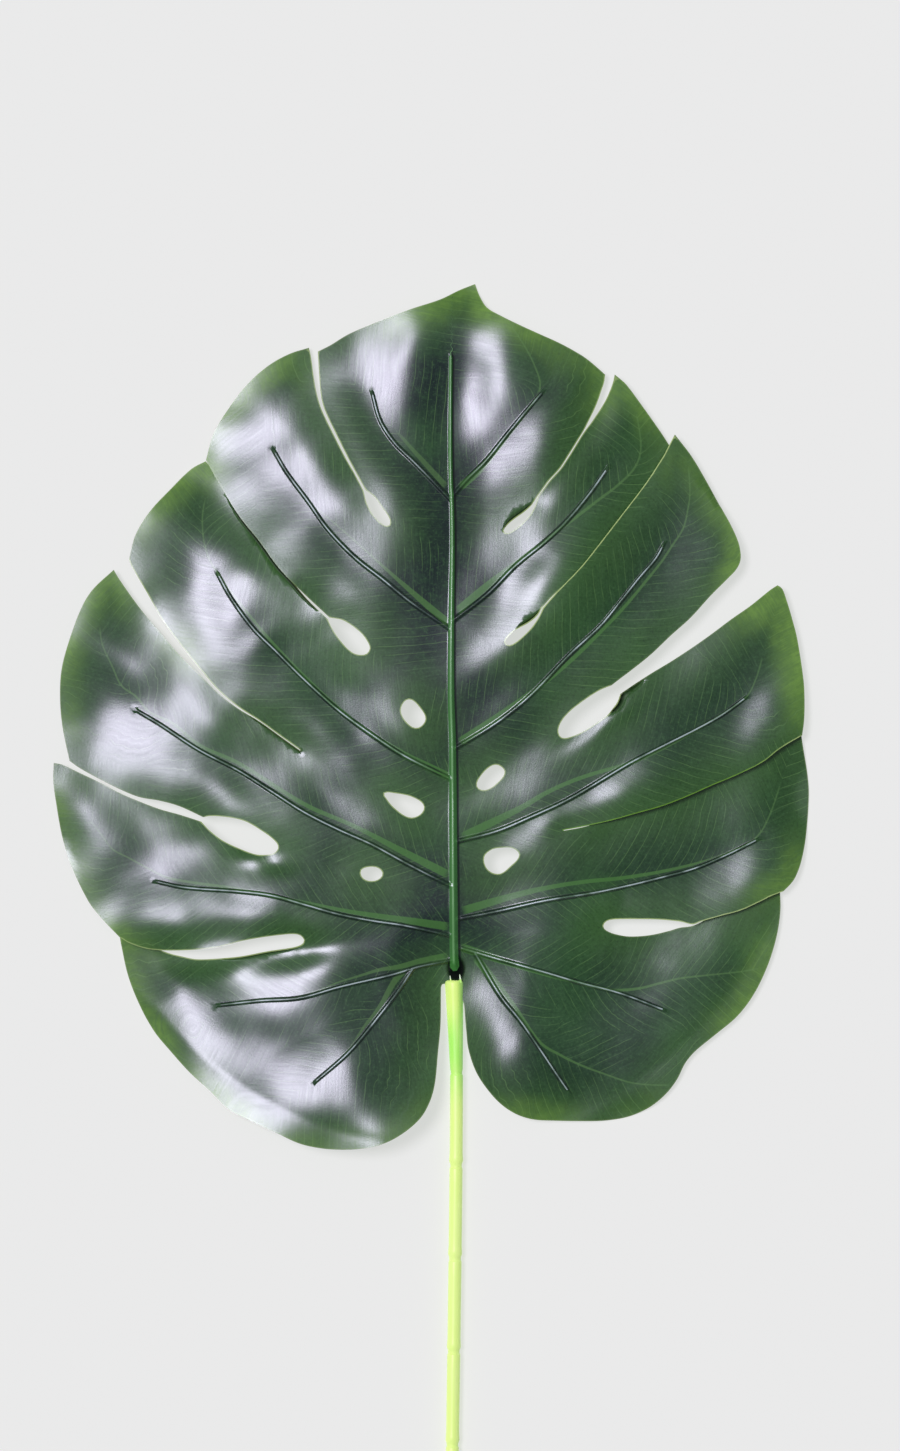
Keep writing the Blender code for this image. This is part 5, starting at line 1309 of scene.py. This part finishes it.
# The emission is painted light: a faint glow that brightens the stem, though it is no lamp
neon = Finish("neon_soft_plastic", Roughness=0.38, Specular_IOR_Level=0.5,
              Emission_Color=(0.62, 1.0, 0.34, 1.0), Emission_Strength=0.22)
place = neon.add("TexCoord", out=3)
along = neon.add("SeparateXYZ", place, out=1)
streaks = neon.noise(neon.add("Mapping", place, None, None, (90.0, 6.0, 90.0)), 6.0, 2.0)
collar_share = neon.climb(along, junction[1] - 0.055, junction[1] - 0.028)
body = neon.mix(collar_share, TUBE_NEON, COLLAR_NEON)
collar_top = neon.climb(along, junction[1] - 0.026, junction[1] - 0.008)
body = neon.mix(collar_top, body, COLLAR_TOP_NEON)
# Painted shade: the collar's right side, away from the lamp, is coloured darker green
painted_right_shade_mask = neon.climb(neon.add("SeparateXYZ", place, out=0), junction[0], junction[0] + 0.003)
body = neon.mix(neon.times(painted_right_shade_mask, collar_share), body, PAINTED_COLLAR_SHADE)
body = neon.mix(neon.climb(streaks, 0.4, 0.7, 0.3), body, STREAK_NEON)
# Painted highlight: the tags above the rim are coloured white as glints
painted_glint_mask = neon.climb(along, start[1] + 0.0002, start[1] + 0.0006)
neon.feed("Base Color", neon.mix(painted_glint_mask, body, PAINTED_GLINT_WHITE))
stem.data.materials.append(neon.material)
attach(stem, "root")
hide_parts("stem")

# The wire
# The soft steel wire, drawn and cut to length, that the stem is moulded round so that it can be
# bent. It shows only at the plain lower end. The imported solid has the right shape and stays.
STEEL_SHADE = (0.32, 0.32, 0.31, 1.0)
STEEL_SHEEN = (0.52, 0.52, 0.50, 1.0)
steel = Finish("drawn_steel", Roughness=0.34, Metallic=1.0)
place = steel.add("TexCoord", out=3)
drawn = steel.noise(steel.add("Mapping", place, None, None, (900.0, 25.0, 900.0)), 1.0, 3.0)
steel.feed("Base Color", steel.mix(drawn, STEEL_SHADE, STEEL_SHEEN))
steel.feed("Roughness", steel.climb(drawn, 0.2, 0.8, 0.45, 0.28))
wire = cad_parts["stem_wire"]
wire.data.materials.clear()
wire.data.materials.append(steel.material)

# The floor
# A plain pale table top that the leaf lies on. It is part of the picture and not of the leaf,
# and glows a little, so that it comes out as pale as the photograph shows it.
TABLE_SIZE = 40.0
TABLE_GREY = (0.26, 0.26, 0.255, 1.0)
TABLE_GLOW = (0.99, 1.0, 0.98, 1.0)
TABLE_GLOW_STRENGTH = 0.625
bpy.ops.object.select_all(action="DESELECT")
bpy.ops.mesh.primitive_plane_add(size=TABLE_SIZE, location=(0.0, 0.0, 0.0))
floor = bpy.context.active_object
floor.name = "floor"
table = Finish("pale_table", Roughness=0.9, Base_Color=TABLE_GREY, Specular_IOR_Level=0.0,
               Emission_Color=TABLE_GLOW, Emission_Strength=TABLE_GLOW_STRENGTH)
floor.data.materials.append(table.material)

# The light
# One broad soft lamp high above the upper left, a faint and far broader white ceiling round the
# same direction, and a dim cool grey room.
LAMP_TILT = math.radians(23.0)
LAMP = ("soft_lamp", 2.05, math.radians(20.0), (0.96, 0.91, 1.0))
CEILING = ("white_ceiling", 0.17, math.radians(80.0), (0.94, 0.92, 1.0))
ROOM_GREY = (0.155, 0.165, 0.175, 1.0)

towards_lamp = Vector((*LIGHT_SIDE, 0.0)).normalized() * math.tan(LAMP_TILT)
towards_lamp.z = 1.0
lamp_turn = towards_lamp.to_track_quat("Z", "Y").to_euler()
for name, strength, spread, tint in (LAMP, CEILING):
    bpy.ops.object.light_add(type="SUN", rotation=lamp_turn)
    lamp = bpy.context.active_object
    lamp.name = name
    lamp.data.energy = strength
    lamp.data.angle = spread
    lamp.data.color = tint
room = bpy.data.worlds.new("room")
room.use_nodes = True
room.node_tree.nodes["Background"].inputs["Color"].default_value = ROOM_GREY
bpy.context.scene.world = room
bpy.context.scene.view_settings.view_transform = "Standard"

# The camera
# It looks straight down on the leaf from high up, as the photograph was taken, and its frame
# cuts the stem off where the photograph does.
VIEW_CENTRE = (0.00756, 0.07421)
VIEW_HEIGHT = 3.0
LENS = 186.0
SENSOR_WIDTH = 36.0
FARTHEST = 20.0
camera_data = bpy.data.cameras.new("camera")
camera_data.lens = LENS
camera_data.sensor_width = SENSOR_WIDTH
camera_data.clip_end = FARTHEST
camera = bpy.data.objects.new("camera", camera_data)
camera.location = (*VIEW_CENTRE, VIEW_HEIGHT)
bpy.context.scene.collection.objects.link(camera)
bpy.context.scene.camera = camera
